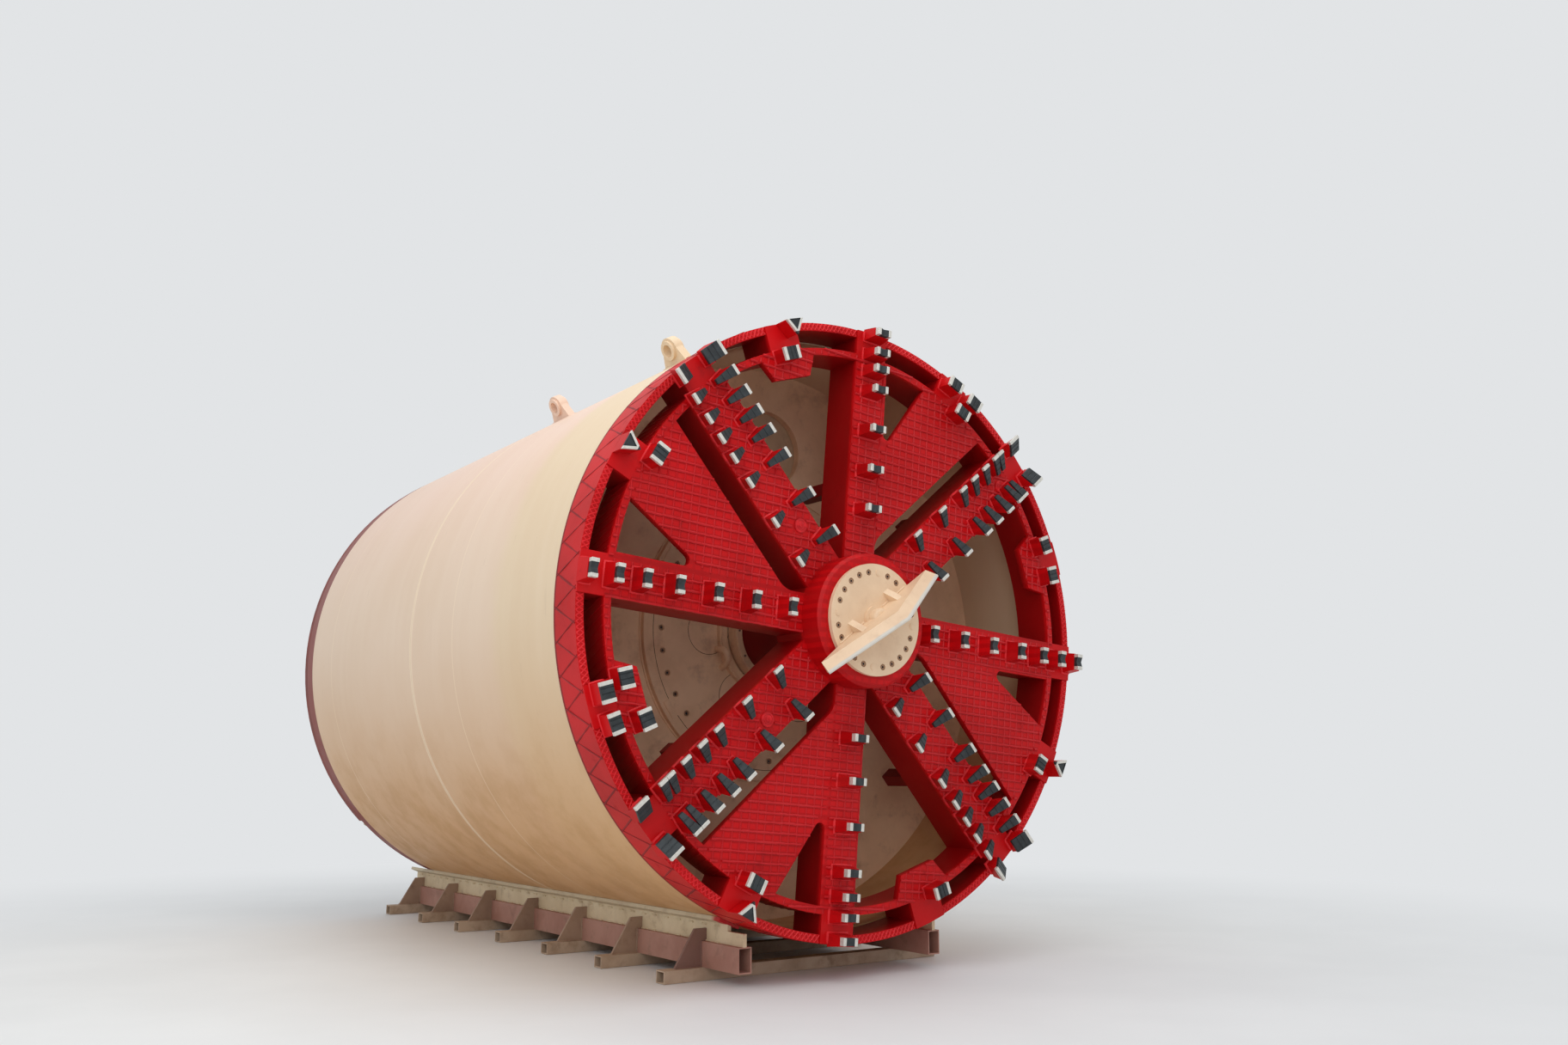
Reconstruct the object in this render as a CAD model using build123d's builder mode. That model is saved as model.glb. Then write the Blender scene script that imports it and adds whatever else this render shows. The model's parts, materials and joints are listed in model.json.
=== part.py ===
"""Earth-pressure pipe jacking machine on its shipping cradle.

Units are millimetres. The cutterhead faces -Y, +Z is up and the origin is on
the floor, under the middle of the machine's length. Places along the machine
are given as a station: the distance behind the face of the cutterhead.
Angles on the cutterhead are counter-clockwise as seen from the front.
"""
import os
from math import atan2, cos, radians, sin, sqrt, tan

from build123d import *

# Whole machine
SHELL_R = 2080.0  # outside radius of both shields
SHELL_WALL = 50.0
JOINT_S = 2780.0  # articulation, at the rear edge of the front shield
REAR_S = 5455.0  # rear edge of the rear shield
RUN_GAP = 5.0  # gap between parts that move past each other
FIT_GAP = 0.3  # gap between curved faces that sit on each other
PIN_FIT = 0.5  # clearance round shafts and pins
KNIFE_REACH = 540.0  # centre knife ahead of the cutter face

# Cradle
SEAT_ANGLE = 22.0
SEAT_W = 160.0
SEAT_T = 25.0
SEAT_BEHIND = 30.0  # seats begin this far behind the cutterhead
WEB_T = 25.0
WEB_H = 129.59
NOSE_DROP = 50.0  # the webs' noses stay this far below the seats
BEAM_FRONT_S = 150.0
BEAM = (100.0, 160.0)
TUBE = (100.0, 80.0)
TUBE_WALL = 8.0
TUBE_PAST = 300.0
CROSS_FIRST_S = 590.0
CROSS_END = 190.0  # last cross tube, ahead of the cradle's rear end
CROSS_COUNT = 7
CRADLE_PAST = 395.0  # the cradle reaches this far behind the rear shield
GUSSET_T = 20.0
GUSSET_DROP = 50.0
GUSSET_FOOT = 200.0
GUSSET_HEAD = 90.0

# Cutterhead
HEAD_TURN = -5.0  # the head stands turned by this angle
OVERCUT = 10.0  # rim radius beyond the shells
RIM_WALL = 55.0
HEAD_DEPTH = 300.0
HEAD_GAP = 10.0  # between the head and the front shield
RIM_SET_BACK = 12.0  # the blocks stand proud of the rim's front edge by this
RING_GAP = 125.0  # open gap between the rim and the inner ring
RING_T = 50.0
PLAIN_W = 260.0
TWIN_W = 340.0
BLOCK_W = 260.0
SLOT_W = 160.0
PANEL_T = 50.0
PANEL_LAP = 20.0  # strip of the panel that runs along the plain spoke
WINDOW_LEN = 620.0
WINDOW_ANGLE = 32.6
WINDOW_CORNER = 40.0
SLOT_CORNER = 150.0  # rounding where a panel's long edge runs into the plain spoke
TAB_REACH = 150.0
TAB_W = 300.0
TAB_FOOT_W = 520.0
HUB_R = 450.0
HUB_FRONT = 190.0
HUB_CHAMFER = 20.0
HUB_LIP = 75.0
COVER_T = 30.0
COVER_BOLTS = 24  # places on the bolt circle; every sixth one has no bolt
COVER_BOLT_IN = 58.0
RECESS_R = 21.0
RECESS_DEEP = 16.0
BOSS_R = 72.0
BOSS_H = 85.0
BOSS_DOME = 30.0
BOSS_COLLAR = 24.0
KNIFE_TURN = 42.0
KNIFE_HALF = 590.0
KNIFE_END = 300.0
KNIFE_LIP = 60.0
KNIFE_SLOPE = 30.0
KNIFE_FOOT_IN = 25.0
KNIFE_T = 74.0
KNIFE_EDGE = 10.0  # flat left on the front edge
KNIFE_BEVEL = 62.0
STAY_T = 50.0  # stays at the knife's foot
STAY_AT = 190.0
STAY_REACH = 110.0
STAY_RISE = 95.0
SHAFT_R = 330.0
BAR_W = 90.0
BAR_LEN = 430.0
BAR_CHAMFER = 18.0
# mixing bars: angle of the first of four, radius
BARS = ((0, 1000.0), (45, 1350.0))

# Cutting tools
POST_H = 110.0
POST_ANGLE = 6.0
POST_FLARE = 34.0
TIP_H = 40.0
BLADE_H = 45.0
CARBIDE = 24.0
RIPPER = (50.0, 115.0)  # along the spoke, across it
SCRAPER_IN = 60.0
SCRAPER_DROP = 20.0  # scrapers cut this much behind the rippers
HOLDER_L = 95.0
HOLDER_FLARE = 16.0
RING_TOOL_W = 130.0
SCRAPER_PAST = 32.0  # scrapers reach past the side of the twin spokes
DOUBLE = 58.0  # half width of the scrapers with two blades
GAUGE = 52.0  # half width of the straight scrapers at the rim
GAUGE_LEN = 105.0
VEE_HALF = 66.0  # V-shaped rim tools
VEE_LEN = 104.0
VEE_FOOT = 14.0
# rippers on the two pairs of plain spokes: share of the way from hub to rim
RIPPER_TRACKS = (
    (0.9787, 0.8720, 0.7561, 0.6159, 0.4451, 0.2713, 0.0976),
    (0.9817, 0.8933, 0.8171, 0.7256, 0.5488, 0.3720, 0.2012),
)
# scrapers on the two pairs of twin spokes: share of the way, half width
SCRAPER_TRACKS = (
    ((0.2012, 30), (0.3902, 30), (0.5549, 30), (0.6463, 30), (0.7378, 30), (0.8415, DOUBLE),
     (0.9756, GAUGE)),
    ((0.1037, 30), (0.2927, 30), (0.4817, 30), (0.5976, 30), (0.6890, 30), (0.7805, 30),
     (0.8720, 30), (0.9756, GAUGE)),
)
# tools on the ring, panels and tabs: angle, distance in from the rim's outside, half width
RING_TOOLS = (
    (155.0, 234, 45), (114.1, 225, 45), (69.0, 90, 40), (62.9, 100, 45), (64.6, 240, 40),
    (26.5, 205, 40), (19.4, 210, 40), (-25.2, 219, 40), (-65.5, 200, 40), (-112.9, 210, 45),
    (-159.4, 85, 45), (-161.0, 228, 45), (-154.0, 90, 40), (-152.5, 290, 45),
)
VEE_TOOLS = (157.0, 111.5, -22.7, -112.0)  # angles

# Front shield
BULKHEAD_S = 1060.0
BULKHEAD_T = 60.0
FLANGE_R = 1062.0
FLANGE_T = 40.0
FLANGE_BOLTS = 36
FLANGE_BOLT_IN = 142.0
GROOVE_OUT = 12.0  # seal groove, out from the flange
GROOVE_W = 16.0
GROOVE_DEEP = 10.0
DRIVE_R = 760.0
DRIVE_LEN = 600.0
DRIVE_LIP = 90.0
MOTOR_R = 165.0
MOTOR_LEN = 620.0
MOTOR_EDGE = 55.0
MOTOR_CHAMFER = 33.0
DOOR_INSET = 610.0  # middle of the door, in from the shell
DOOR_HOLE_R = 300.0
DOOR_LAP = 40.0
DOOR_T = 30.0
HINGE_R = 22.0
HINGE_OUT = 10.0
HINGE_PIN_R = 12.0
HINGE_LEN = 220.0
HINGE_EAR = 30.0
SPIGOT_GAP = 25.0
SPIGOT_T = 35.0
SPIGOT_LEN = 260.0
SPIGOT_WELD = 87.0
RIB_T = 30.0
RIB_DEEP = 130.0
FRONT_RIB_AHEAD = 270.0  # the rear one of the two, ahead of the spigot
FRONT_RIB_PITCH = 400.0
LUG_ANGLE = 28.7
LUG_FRONT_AHEAD = 360.0  # ahead of the bulkhead
LUG_REAR_AHEAD = 280.0  # ahead of the articulation
LUG_T = 60.0
LUG_R = 88.0
LUG_FOOT = 140.0
LUG_HOLE_R = 45.0
LUG_HOLE_UP = 110.0
CHEEK_T = 20.0
CHEEK_R = 70.0

# Screw conveyor
SCREW_OVER = 580.0  # its axis above the shell's inside, at the bulkhead's front
SCREW_RISE = 13.0
SCREW_R = 250.0
SCREW_WALL = 15.0
SCREW_LEN = 3900.0
AUGER_GAP = 15.0
AUGER_SHAFT_R = 70.0
AUGER_PITCH = 420.0
AUGER_NOSE = 120.0
FLIGHT_STEPS = 16
FLIGHT_TURNS = 2
FLIGHT_LAP = 8.0
SCREW_FLANGE = 60.0
SCREW_DRIVE_LEN = 320.0
CHUTE = 420.0
CHUTE_WALL = 12.0
CHUTE_LEN = 120.0
CHUTE_BACK = 420.0
CHUTE_FLANGE = 40.0
GATE_T = 20.0
GATE_RAIL = 25.0
GATE_TRAVEL = 380.0

# Steering cylinders
STEER_IN = 254.5  # their pitch circle, in from the shell's inside
STEER_ANGLE = 32.35
BARREL_R = 85.0
ROD_R = 50.0
PIN_R = 40.0
PIN_GAP = 2.0
EYE_R = 85.0
EYE_W = 90.0
BARREL_BEHIND = 240.0  # behind the articulation
BARREL_LEN = 620.0
ROD_END_GAP = 55.0
BRACKET_T = 60.0
EAR_T = 30.0
EAR_R = 70.0

# Rear shield
TAIL_STEP = 20.0
TAIL_WALL = 70.0
TAIL_LEN = 90.0
CHANNEL_ANGLE = 46.0  # open channel under the tail ring, from this far below level
CHANNEL_DEEP = 35.0
CHANNEL_LIP = 18.0
DECK_OVER = 780.0  # top of the deck, above the shell's inside
DECK_T = 20.0
DECK_W = 2800.0
REAR_RIB_AHEAD = 205.0  # the last one, ahead of the shield's rear edge
REAR_RIB_PITCH = 950.0
REAR_RIB_COUNT = 3
PACK = (560.0, 1300.0, 560.0)  # tank of the power pack: width, length, height
PACK_EDGE = 120.0
PACK_CORNER = 30.0
PUMP_R = 150.0
PUMP_LEN = 620.0
PUMP_END = 60.0
CABINET = (420.0, 1200.0, 1500.0)
CABINET_EDGE = 190.0
CABINET_CORNER = 20.0
UNIT_AHEAD = 750.0  # middle of the pack and the cabinet, ahead of the last rib

# Places that follow from the sizes above
SHELL_IN = SHELL_R - SHELL_WALL
RIM_R = SHELL_R + OVERCUT
RIM_IN = RIM_R - RIM_WALL
RING_OUT = RIM_IN - RING_GAP
RING_IN = RING_OUT - RING_T
COVER_R = HUB_R - HUB_LIP
FRONT_S = HEAD_DEPTH + HEAD_GAP
CRADLE_REAR_S = REAR_S + CRADLE_PAST
FACE_Y = -(CRADLE_REAR_S - KNIFE_REACH) / 2
SEAT_R = SHELL_R + FIT_GAP + SEAT_T / 2
BEAM_TOP = TUBE[1] + BEAM[1]
AXIS_Z = BEAM_TOP + WEB_H + SEAT_R * cos(radians(SEAT_ANGLE))
os.makedirs("parts", exist_ok=True)


def station(s, turn=0.0):
    """Upright plane on the machine axis, facing forward, s behind the cutter face."""
    return Plane(
        origin=(0, FACE_Y + s, AXIS_Z),
        x_dir=(cos(radians(turn)), 0, sin(radians(turn))),
        z_dir=(0, -1, 0),
    )


def head(s, turn=0.0):
    """Plane of the cutterhead, turned as the head stands."""
    return station(s, HEAD_TURN + turn)


def ring(start, length, outer, inner):
    """Ring on the machine axis from station start back over length."""
    with BuildSketch(station(start)) as face:
        Circle(outer)
        if inner > 0:
            Circle(inner, mode=Mode.SUBTRACT)
    extrude(face.sketch, amount=-length)


def save(piece, label):
    """Name a finished piece and write it."""
    piece.part.label = label
    export_step(piece.part, f"parts/{label}.step")


def spoke_bars(width, first):
    """Four deep bars from the hub to the inner ring, the first at an angle."""
    reach = RING_IN
    with BuildSketch(head(0)) as face:
        with PolarLocations(0, 4, start_angle=first):
            with Locations((reach / 2, 0)):
                Rectangle(reach, width)
        Circle(HUB_R, mode=Mode.SUBTRACT)
        Circle(RING_IN, mode=Mode.INTERSECT)
    extrude(face.sketch, amount=-HEAD_DEPTH)

def panel_outline():
    """Panel on the clockwise side of the plain spoke that lies along +X."""
    edge = -PLAIN_W / 2
    slot_line = (TWIN_W / 2 + SLOT_W) * sqrt(2)
    far = RIM_R
    top = edge - PANEL_LAP
    tip = slot_line - edge
    lead = SLOT_CORNER * tan(radians(22.5))
    start = RING_IN - WINDOW_LEN
    drop = (far - start) * tan(radians(WINDOW_ANGLE))
    with BuildSketch() as window:
        with BuildLine():
            Polyline((start, top), (far, top), (far, top - drop), close=True)
        make_face()
        apex = window.vertices().sort_by_distance((start, top, 0))[0]
        fillet(apex, WINDOW_CORNER)
    with BuildSketch() as outline:
        with BuildLine():
            corner = TangentArc((tip - lead, edge), (tip + lead / sqrt(2), edge - lead / sqrt(2)),
                                tangent=(1, 0))
            Polyline(corner @ 1, (far, slot_line - far), (far, edge), corner @ 0)
        make_face()
        add(window.sketch, mode=Mode.SUBTRACT)
        Circle(RING_IN, mode=Mode.INTERSECT)
    return outline.sketch


def tab_outline():
    """Tab that reaches inward from the inner ring, on the +X side."""
    with BuildSketch() as outline:
        with BuildLine():
            Polyline((RING_IN - TAB_REACH, -TAB_W / 2), (RING_OUT, -TAB_FOOT_W / 2),
                     (RING_OUT, TAB_FOOT_W / 2), (RING_IN - TAB_REACH, TAB_W / 2), close=True)
        make_face()
        Circle(RING_IN, mode=Mode.INTERSECT)
    return outline.sketch


def blade_outline(radius, half, side):
    """Scraper blade that widens outward to its carbide edge, on one side of a spoke."""
    tip = SCRAPER_OUT - CARBIDE
    foot = SCRAPER_IN
    with BuildSketch() as outline:
        with BuildLine():
            if half == DOUBLE:
                Polyline((radius - 0.85 * half, side * foot), (radius - 0.3 * half, side * foot),
                         (radius, side * (tip - CARBIDE)), (radius + 0.3 * half, side * foot),
                         (radius + 0.85 * half, side * foot), (radius + half, side * tip),
                         (radius - half, side * tip), close=True)
            elif half == GAUGE:
                foot = SCRAPER_OUT - GAUGE_LEN
                Polyline((radius - half, side * foot), (radius + half, side * foot),
                         (radius + half, side * tip), (radius - half, side * tip), close=True)
            else:
                Polyline((radius - half / 2, side * foot), (radius + half / 2, side * foot),
                         (radius + half, side * tip), (radius - half, side * tip), close=True)
        make_face()
    return outline.sketch


def vee_outline(grow, hollow):
    """V-shaped tool that opens outward, at the rim; hollow leaves only its two edges."""
    bar_y = CARBIDE * sqrt(VEE_LEN ** 2 + VEE_HALF ** 2) / VEE_LEN
    bar_x = CARBIDE * sqrt(VEE_LEN ** 2 + VEE_HALF ** 2) / VEE_HALF
    back = RIM_R - VEE_LEN
    with BuildSketch() as outline:
        with BuildLine():
            Polyline((back - 2 * grow, 0), (RIM_R, -VEE_HALF - grow), (RIM_R, VEE_HALF + grow),
                     close=True)
        make_face()
        if hollow:
            with BuildLine():
                Polyline((back + bar_x, 0), (RIM_R, bar_y - VEE_HALF), (RIM_R, VEE_HALF - bar_y),
                         close=True)
            make_face(mode=Mode.SUBTRACT)
    return outline.sketch


# Cutterhead structure
with BuildPart() as cutter_rim:
    ring(RIM_SET_BACK, HEAD_DEPTH - RIM_SET_BACK, RIM_R, RIM_IN)
save(cutter_rim, "cutter_rim")

with BuildPart() as inner_ring:
    ring(0, HEAD_DEPTH, RING_OUT, RING_IN)
save(inner_ring, "inner_ring")

with BuildPart() as plain_spokes:
    spoke_bars(PLAIN_W, 0)
save(plain_spokes, "plain_spokes")

with BuildPart() as twin_spokes:
    spoke_bars(TWIN_W, 45)
save(twin_spokes, "twin_spokes")

with BuildPart() as wide_panels:
    with BuildSketch(head(0)):
        with PolarLocations(0, 4):
            add(panel_outline())
    extrude(amount=-PANEL_T)
save(wide_panels, "wide_panels")

with BuildPart() as ring_tabs:
    with BuildSketch(head(0)):
        with PolarLocations(0, 4, start_angle=22.5):
            add(tab_outline())
    extrude(amount=-PANEL_T)
save(ring_tabs, "ring_tabs")

with BuildPart() as rim_blocks:
    for block_r, block_depth in ((RIM_IN, HEAD_DEPTH), (RIM_R, RIM_SET_BACK)):
        with BuildSketch(head(0)):
            with PolarLocations(RIM_R, 16):
                Rectangle(2 * (RIM_R - RING_IN), BLOCK_W)
            Circle(RING_OUT, mode=Mode.SUBTRACT)
            Circle(block_r, mode=Mode.INTERSECT)
        extrude(amount=-block_depth)
save(rim_blocks, "rim_blocks")

with BuildPart() as hub:
    ring(-HUB_FRONT, HUB_FRONT + HEAD_DEPTH, HUB_R, 0)
    chamfer(hub.faces().sort_by(Axis.Y)[0].edges(), HUB_CHAMFER)
save(hub, "hub")

cover_bolts = [360 / COVER_BOLTS * i for i in range(COVER_BOLTS) if i % 6]
with BuildPart() as hub_cover:
    ring(-HUB_FRONT - COVER_T, COVER_T, COVER_R, 0)
    with BuildSketch(head(-HUB_FRONT - COVER_T)) as recesses:
        for turn in cover_bolts:
            with PolarLocations(COVER_R - COVER_BOLT_IN, 1, start_angle=turn):
                Circle(RECESS_R)
    extrude(recesses.sketch, amount=-RECESS_DEEP, mode=Mode.SUBTRACT)
save(hub_cover, "hub_cover")

knife_side = Plane(
    origin=(0, FACE_Y, AXIS_Z),
    x_dir=(cos(radians(HEAD_TURN + KNIFE_TURN)), 0, sin(radians(HEAD_TURN + KNIFE_TURN))),
    z_dir=(sin(radians(HEAD_TURN + KNIFE_TURN)), 0, -cos(radians(HEAD_TURN + KNIFE_TURN))),
)
knife_foot = HUB_FRONT + COVER_T
foot_half = COVER_R - KNIFE_FOOT_IN
knife_slope = atan2(KNIFE_REACH - KNIFE_END, KNIFE_HALF)
with BuildPart() as knife_boss:
    ring(-knife_foot - BOSS_H, BOSS_H, BOSS_R, 0)
    fillet(knife_boss.faces().sort_by(Axis.Y)[0].edges(), BOSS_DOME)
    ring(-knife_foot - BOSS_COLLAR, BOSS_COLLAR, BOSS_R + BOSS_COLLAR, 0)

with BuildPart() as centre_knife:
    with BuildSketch(knife_side):
        with BuildLine():
            Polyline(
                (-KNIFE_HALF, KNIFE_END), (0, KNIFE_REACH), (KNIFE_HALF, KNIFE_END),
                (KNIFE_HALF - KNIFE_SLOPE, KNIFE_END - KNIFE_LIP), (foot_half, knife_foot),
                (-foot_half, knife_foot), (KNIFE_SLOPE - KNIFE_HALF, KNIFE_END - KNIFE_LIP), close=True,
            )
        make_face()
    extrude(amount=KNIFE_T / 2, both=True)
    for side in (-1, 1):
        ridge = Plane(
            origin=knife_side.from_local_coords((0, KNIFE_REACH, 0)),
            x_dir=knife_side.z_dir,
            z_dir=knife_side.x_dir * side * cos(knife_slope) - knife_side.y_dir * sin(knife_slope),
        )
        with BuildSketch(ridge) as bevel:
            with BuildLine():
                Polyline((KNIFE_T / 2 - KNIFE_EDGE, 0), (-KNIFE_T / 2, side * KNIFE_BEVEL),
                         (-KNIFE_T, side * KNIFE_BEVEL), (-KNIFE_T, -side * KNIFE_T),
                         (KNIFE_T / 2 - KNIFE_EDGE, -side * KNIFE_T), close=True)
            make_face()
        extrude(bevel.sketch, amount=2 * KNIFE_HALF, both=True, mode=Mode.SUBTRACT)
    for stay_x in (-STAY_AT - STAY_T / 2, STAY_AT - STAY_T / 2):
        stay_side = Plane(
            origin=knife_side.from_local_coords((stay_x, knife_foot, 0)),
            x_dir=knife_side.z_dir,
            z_dir=knife_side.x_dir,
        )
        with BuildSketch(stay_side) as stay:
            with BuildLine():
                Polyline((-STAY_REACH, 0), (STAY_REACH, 0), (KNIFE_T / 2, -STAY_RISE),
                         (-KNIFE_T / 2, -STAY_RISE), close=True)
            make_face()
        extrude(stay.sketch, amount=STAY_T)
    add(knife_boss.part)
save(centre_knife, "centre_knife")

with BuildPart() as main_shaft:
    ring(HEAD_DEPTH, BULKHEAD_S + BULKHEAD_T - RUN_GAP - HEAD_DEPTH, SHAFT_R, 0)
save(main_shaft, "main_shaft")

with BuildPart() as mixing_bars:
    for bar_turn, bar_r in BARS:
        with BuildSketch(head(HEAD_DEPTH)):
            with PolarLocations(bar_r, 4, start_angle=bar_turn):
                Rectangle(BAR_W, BAR_W)
        extrude(amount=-BAR_LEN)
    chamfer(mixing_bars.faces().group_by(Axis.Y)[-1].edges(), BAR_CHAMFER)
save(mixing_bars, "mixing_bars")

# Cutting tools, first their places
SCRAPER_OUT = TWIN_W / 2 + SCRAPER_PAST
ripper_spots = [(90 * arm, HUB_R + share * (RIM_R - HUB_R))
                for arm in range(4) for share in RIPPER_TRACKS[arm % 2]]
scraper_spots = [(90 * arm + 45, HUB_R + share * (RIM_R - HUB_R), half, side)
                 for arm in range(4) for share, half in SCRAPER_TRACKS[arm % 2] for side in (-1, 1)]
ring_spots = [(turn, RIM_R - inset, half) for turn, inset, half in RING_TOOLS]

with BuildPart() as ripper_posts:
    with BuildSketch(head(0)) as post_feet:
        for turn, r in ripper_spots:
            with PolarLocations(r, 1, start_angle=turn):
                Rectangle(RIPPER[0] + POST_FLARE, RIPPER[1] + POST_FLARE)
    extrude(post_feet.sketch, amount=POST_H, taper=POST_ANGLE)
save(ripper_posts, "ripper_posts")

with BuildPart() as ripper_tips:
    with BuildSketch(head(-POST_H)):
        for turn, r in ripper_spots:
            with PolarLocations(r, 1, start_angle=turn):
                Rectangle(RIPPER[0], RIPPER[1] - 2 * CARBIDE)
    extrude(amount=TIP_H)
save(ripper_tips, "ripper_tips")

holder_h = POST_H + TIP_H - SCRAPER_DROP - BLADE_H
with BuildPart() as scraper_holders:
    with BuildSketch(head(0)) as holder_feet:
        for turn, r, half, side in scraper_spots:
            with PolarLocations(0, 1, start_angle=turn):
                with Locations((r, side * (TWIN_W / 2 - HOLDER_L / 2))):
                    Rectangle(1.5 * half + HOLDER_FLARE, HOLDER_L)
        for turn, r, half in ring_spots:
            with PolarLocations(r, 1, start_angle=turn):
                Rectangle(2 * half, RING_TOOL_W)
        for turn in VEE_TOOLS:
            with PolarLocations(0, 1, start_angle=turn):
                add(vee_outline(VEE_FOOT, False))
    extrude(holder_feet.sketch, amount=holder_h, taper=POST_ANGLE)
save(scraper_holders, "scraper_holders")

with BuildPart() as scraper_blades:
    with BuildSketch(head(-holder_h)):
        for turn, r, half, side in scraper_spots:
            with PolarLocations(0, 1, start_angle=turn):
                add(blade_outline(r, half, side))
        for turn, r, half in ring_spots:
            with PolarLocations(r, 1, start_angle=turn):
                Rectangle(2 * half, RING_TOOL_W - 2 * CARBIDE)
        for turn in VEE_TOOLS:
            with PolarLocations(0, 1, start_angle=turn):
                add(vee_outline(0, False))
                add(vee_outline(0, True), mode=Mode.SUBTRACT)
    extrude(amount=BLADE_H)
save(scraper_blades, "scraper_blades")

with BuildPart() as carbide_edges:
    with BuildSketch(head(-holder_h)) as edge_faces:
        for turn, r, half, side in scraper_spots:
            with PolarLocations(0, 1, start_angle=turn):
                with Locations((r, side * (SCRAPER_OUT - CARBIDE / 2))):
                    Rectangle(2 * half, CARBIDE)
        for turn, r, half in ring_spots:
            for side in (-1, 1):
                with PolarLocations(0, 1, start_angle=turn):
                    with Locations((r, side * (RING_TOOL_W - CARBIDE) / 2)):
                        Rectangle(2 * half, CARBIDE)
        for turn in VEE_TOOLS:
            with PolarLocations(0, 1, start_angle=turn):
                add(vee_outline(0, True))
    extrude(edge_faces.sketch, amount=BLADE_H)
    with BuildSketch(head(-POST_H)) as tip_faces:
        for turn, r in ripper_spots:
            for side in (-1, 1):
                with PolarLocations(0, 1, start_angle=turn):
                    with Locations((r, side * (RIPPER[1] - CARBIDE) / 2)):
                        Rectangle(RIPPER[0], CARBIDE)
    extrude(tip_faces.sketch, amount=TIP_H)
save(carbide_edges, "carbide_edges")

# Front shield
SPIGOT_R = SHELL_IN - SPIGOT_GAP
with BuildPart() as front_shell:
    ring(FRONT_S, JOINT_S - FRONT_S, SHELL_R, SHELL_IN)
save(front_shell, "front_shell")

with BuildPart() as front_spigot:
    ring(JOINT_S - SPIGOT_LEN, 2 * SPIGOT_LEN, SPIGOT_R, SPIGOT_R - SPIGOT_T)
    ring(JOINT_S - SPIGOT_LEN, SPIGOT_WELD, SHELL_IN, SPIGOT_R - SPIGOT_T)
save(front_spigot, "front_spigot")

last_rib_s = JOINT_S - SPIGOT_LEN - FRONT_RIB_AHEAD
with BuildPart() as front_ribs:
    for rib_s in (last_rib_s - FRONT_RIB_PITCH, last_rib_s):
        ring(rib_s, RIB_T, SHELL_IN, SHELL_IN - RIB_DEEP)
save(front_ribs, "front_ribs")

SCREW_DOWN = SHELL_IN - SCREW_OVER
screw_mouth = (0, FACE_Y + BULKHEAD_S, AXIS_Z - SCREW_DOWN)
screw_up = radians(SCREW_RISE)
tube_r = SCREW_R + SCREW_WALL


def screw_plane(along):
    """Plane square to the screw conveyor, facing back, a distance along it."""
    return Plane(
        origin=(0, screw_mouth[1] + along * cos(screw_up), screw_mouth[2] + along * sin(screw_up)),
        x_dir=(1, 0, 0),
        z_dir=(0, cos(screw_up), sin(screw_up)),
    )


DOOR_UP = SHELL_IN - DOOR_INSET
with BuildPart() as bulkhead:
    ring(BULKHEAD_S, BULKHEAD_T, SHELL_IN, SHAFT_R + PIN_FIT)
    with BuildSketch(station(BULKHEAD_S)) as grooves:
        Circle(FLANGE_R + GROOVE_OUT + GROOVE_W)
        Circle(FLANGE_R + GROOVE_OUT, mode=Mode.SUBTRACT)
    extrude(grooves.sketch, amount=-GROOVE_DEEP, mode=Mode.SUBTRACT)
    with BuildSketch(station(BULKHEAD_S)) as door_hole:
        with Locations((0, DOOR_UP)):
            Circle(DOOR_HOLE_R)
    extrude(door_hole.sketch, amount=-BULKHEAD_T, mode=Mode.SUBTRACT)
    with BuildSketch(screw_plane(-BULKHEAD_T * 2)) as screw_hole:
        Circle(tube_r + FIT_GAP)
    extrude(screw_hole.sketch, amount=BULKHEAD_T * 5, mode=Mode.SUBTRACT)
save(bulkhead, "bulkhead")

with BuildPart() as drive_flange:
    ring(BULKHEAD_S - FLANGE_T, FLANGE_T, FLANGE_R, SHAFT_R + PIN_FIT)
    with BuildSketch(station(BULKHEAD_S - FLANGE_T)) as flange_recesses:
        with PolarLocations(FLANGE_R - FLANGE_BOLT_IN, FLANGE_BOLTS):
            Circle(RECESS_R)
    extrude(flange_recesses.sketch, amount=-RECESS_DEEP, mode=Mode.SUBTRACT)
save(drive_flange, "drive_flange")

drive_s = BULKHEAD_S + BULKHEAD_T
with BuildPart() as main_drive:
    ring(drive_s, DRIVE_LEN, DRIVE_R, 0)
    ring(drive_s, FLANGE_T, DRIVE_R + DRIVE_LIP, 0)
save(main_drive, "main_drive")

with BuildPart() as drive_motors:
    with BuildSketch(station(drive_s + DRIVE_LEN)):
        with PolarLocations(DRIVE_R - MOTOR_EDGE - MOTOR_R, 6):
            Circle(MOTOR_R)
    extrude(amount=-MOTOR_LEN)
    chamfer(drive_motors.faces().group_by(Axis.Y)[-1].edges(), MOTOR_CHAMFER)
save(drive_motors, "drive_motors")

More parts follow.
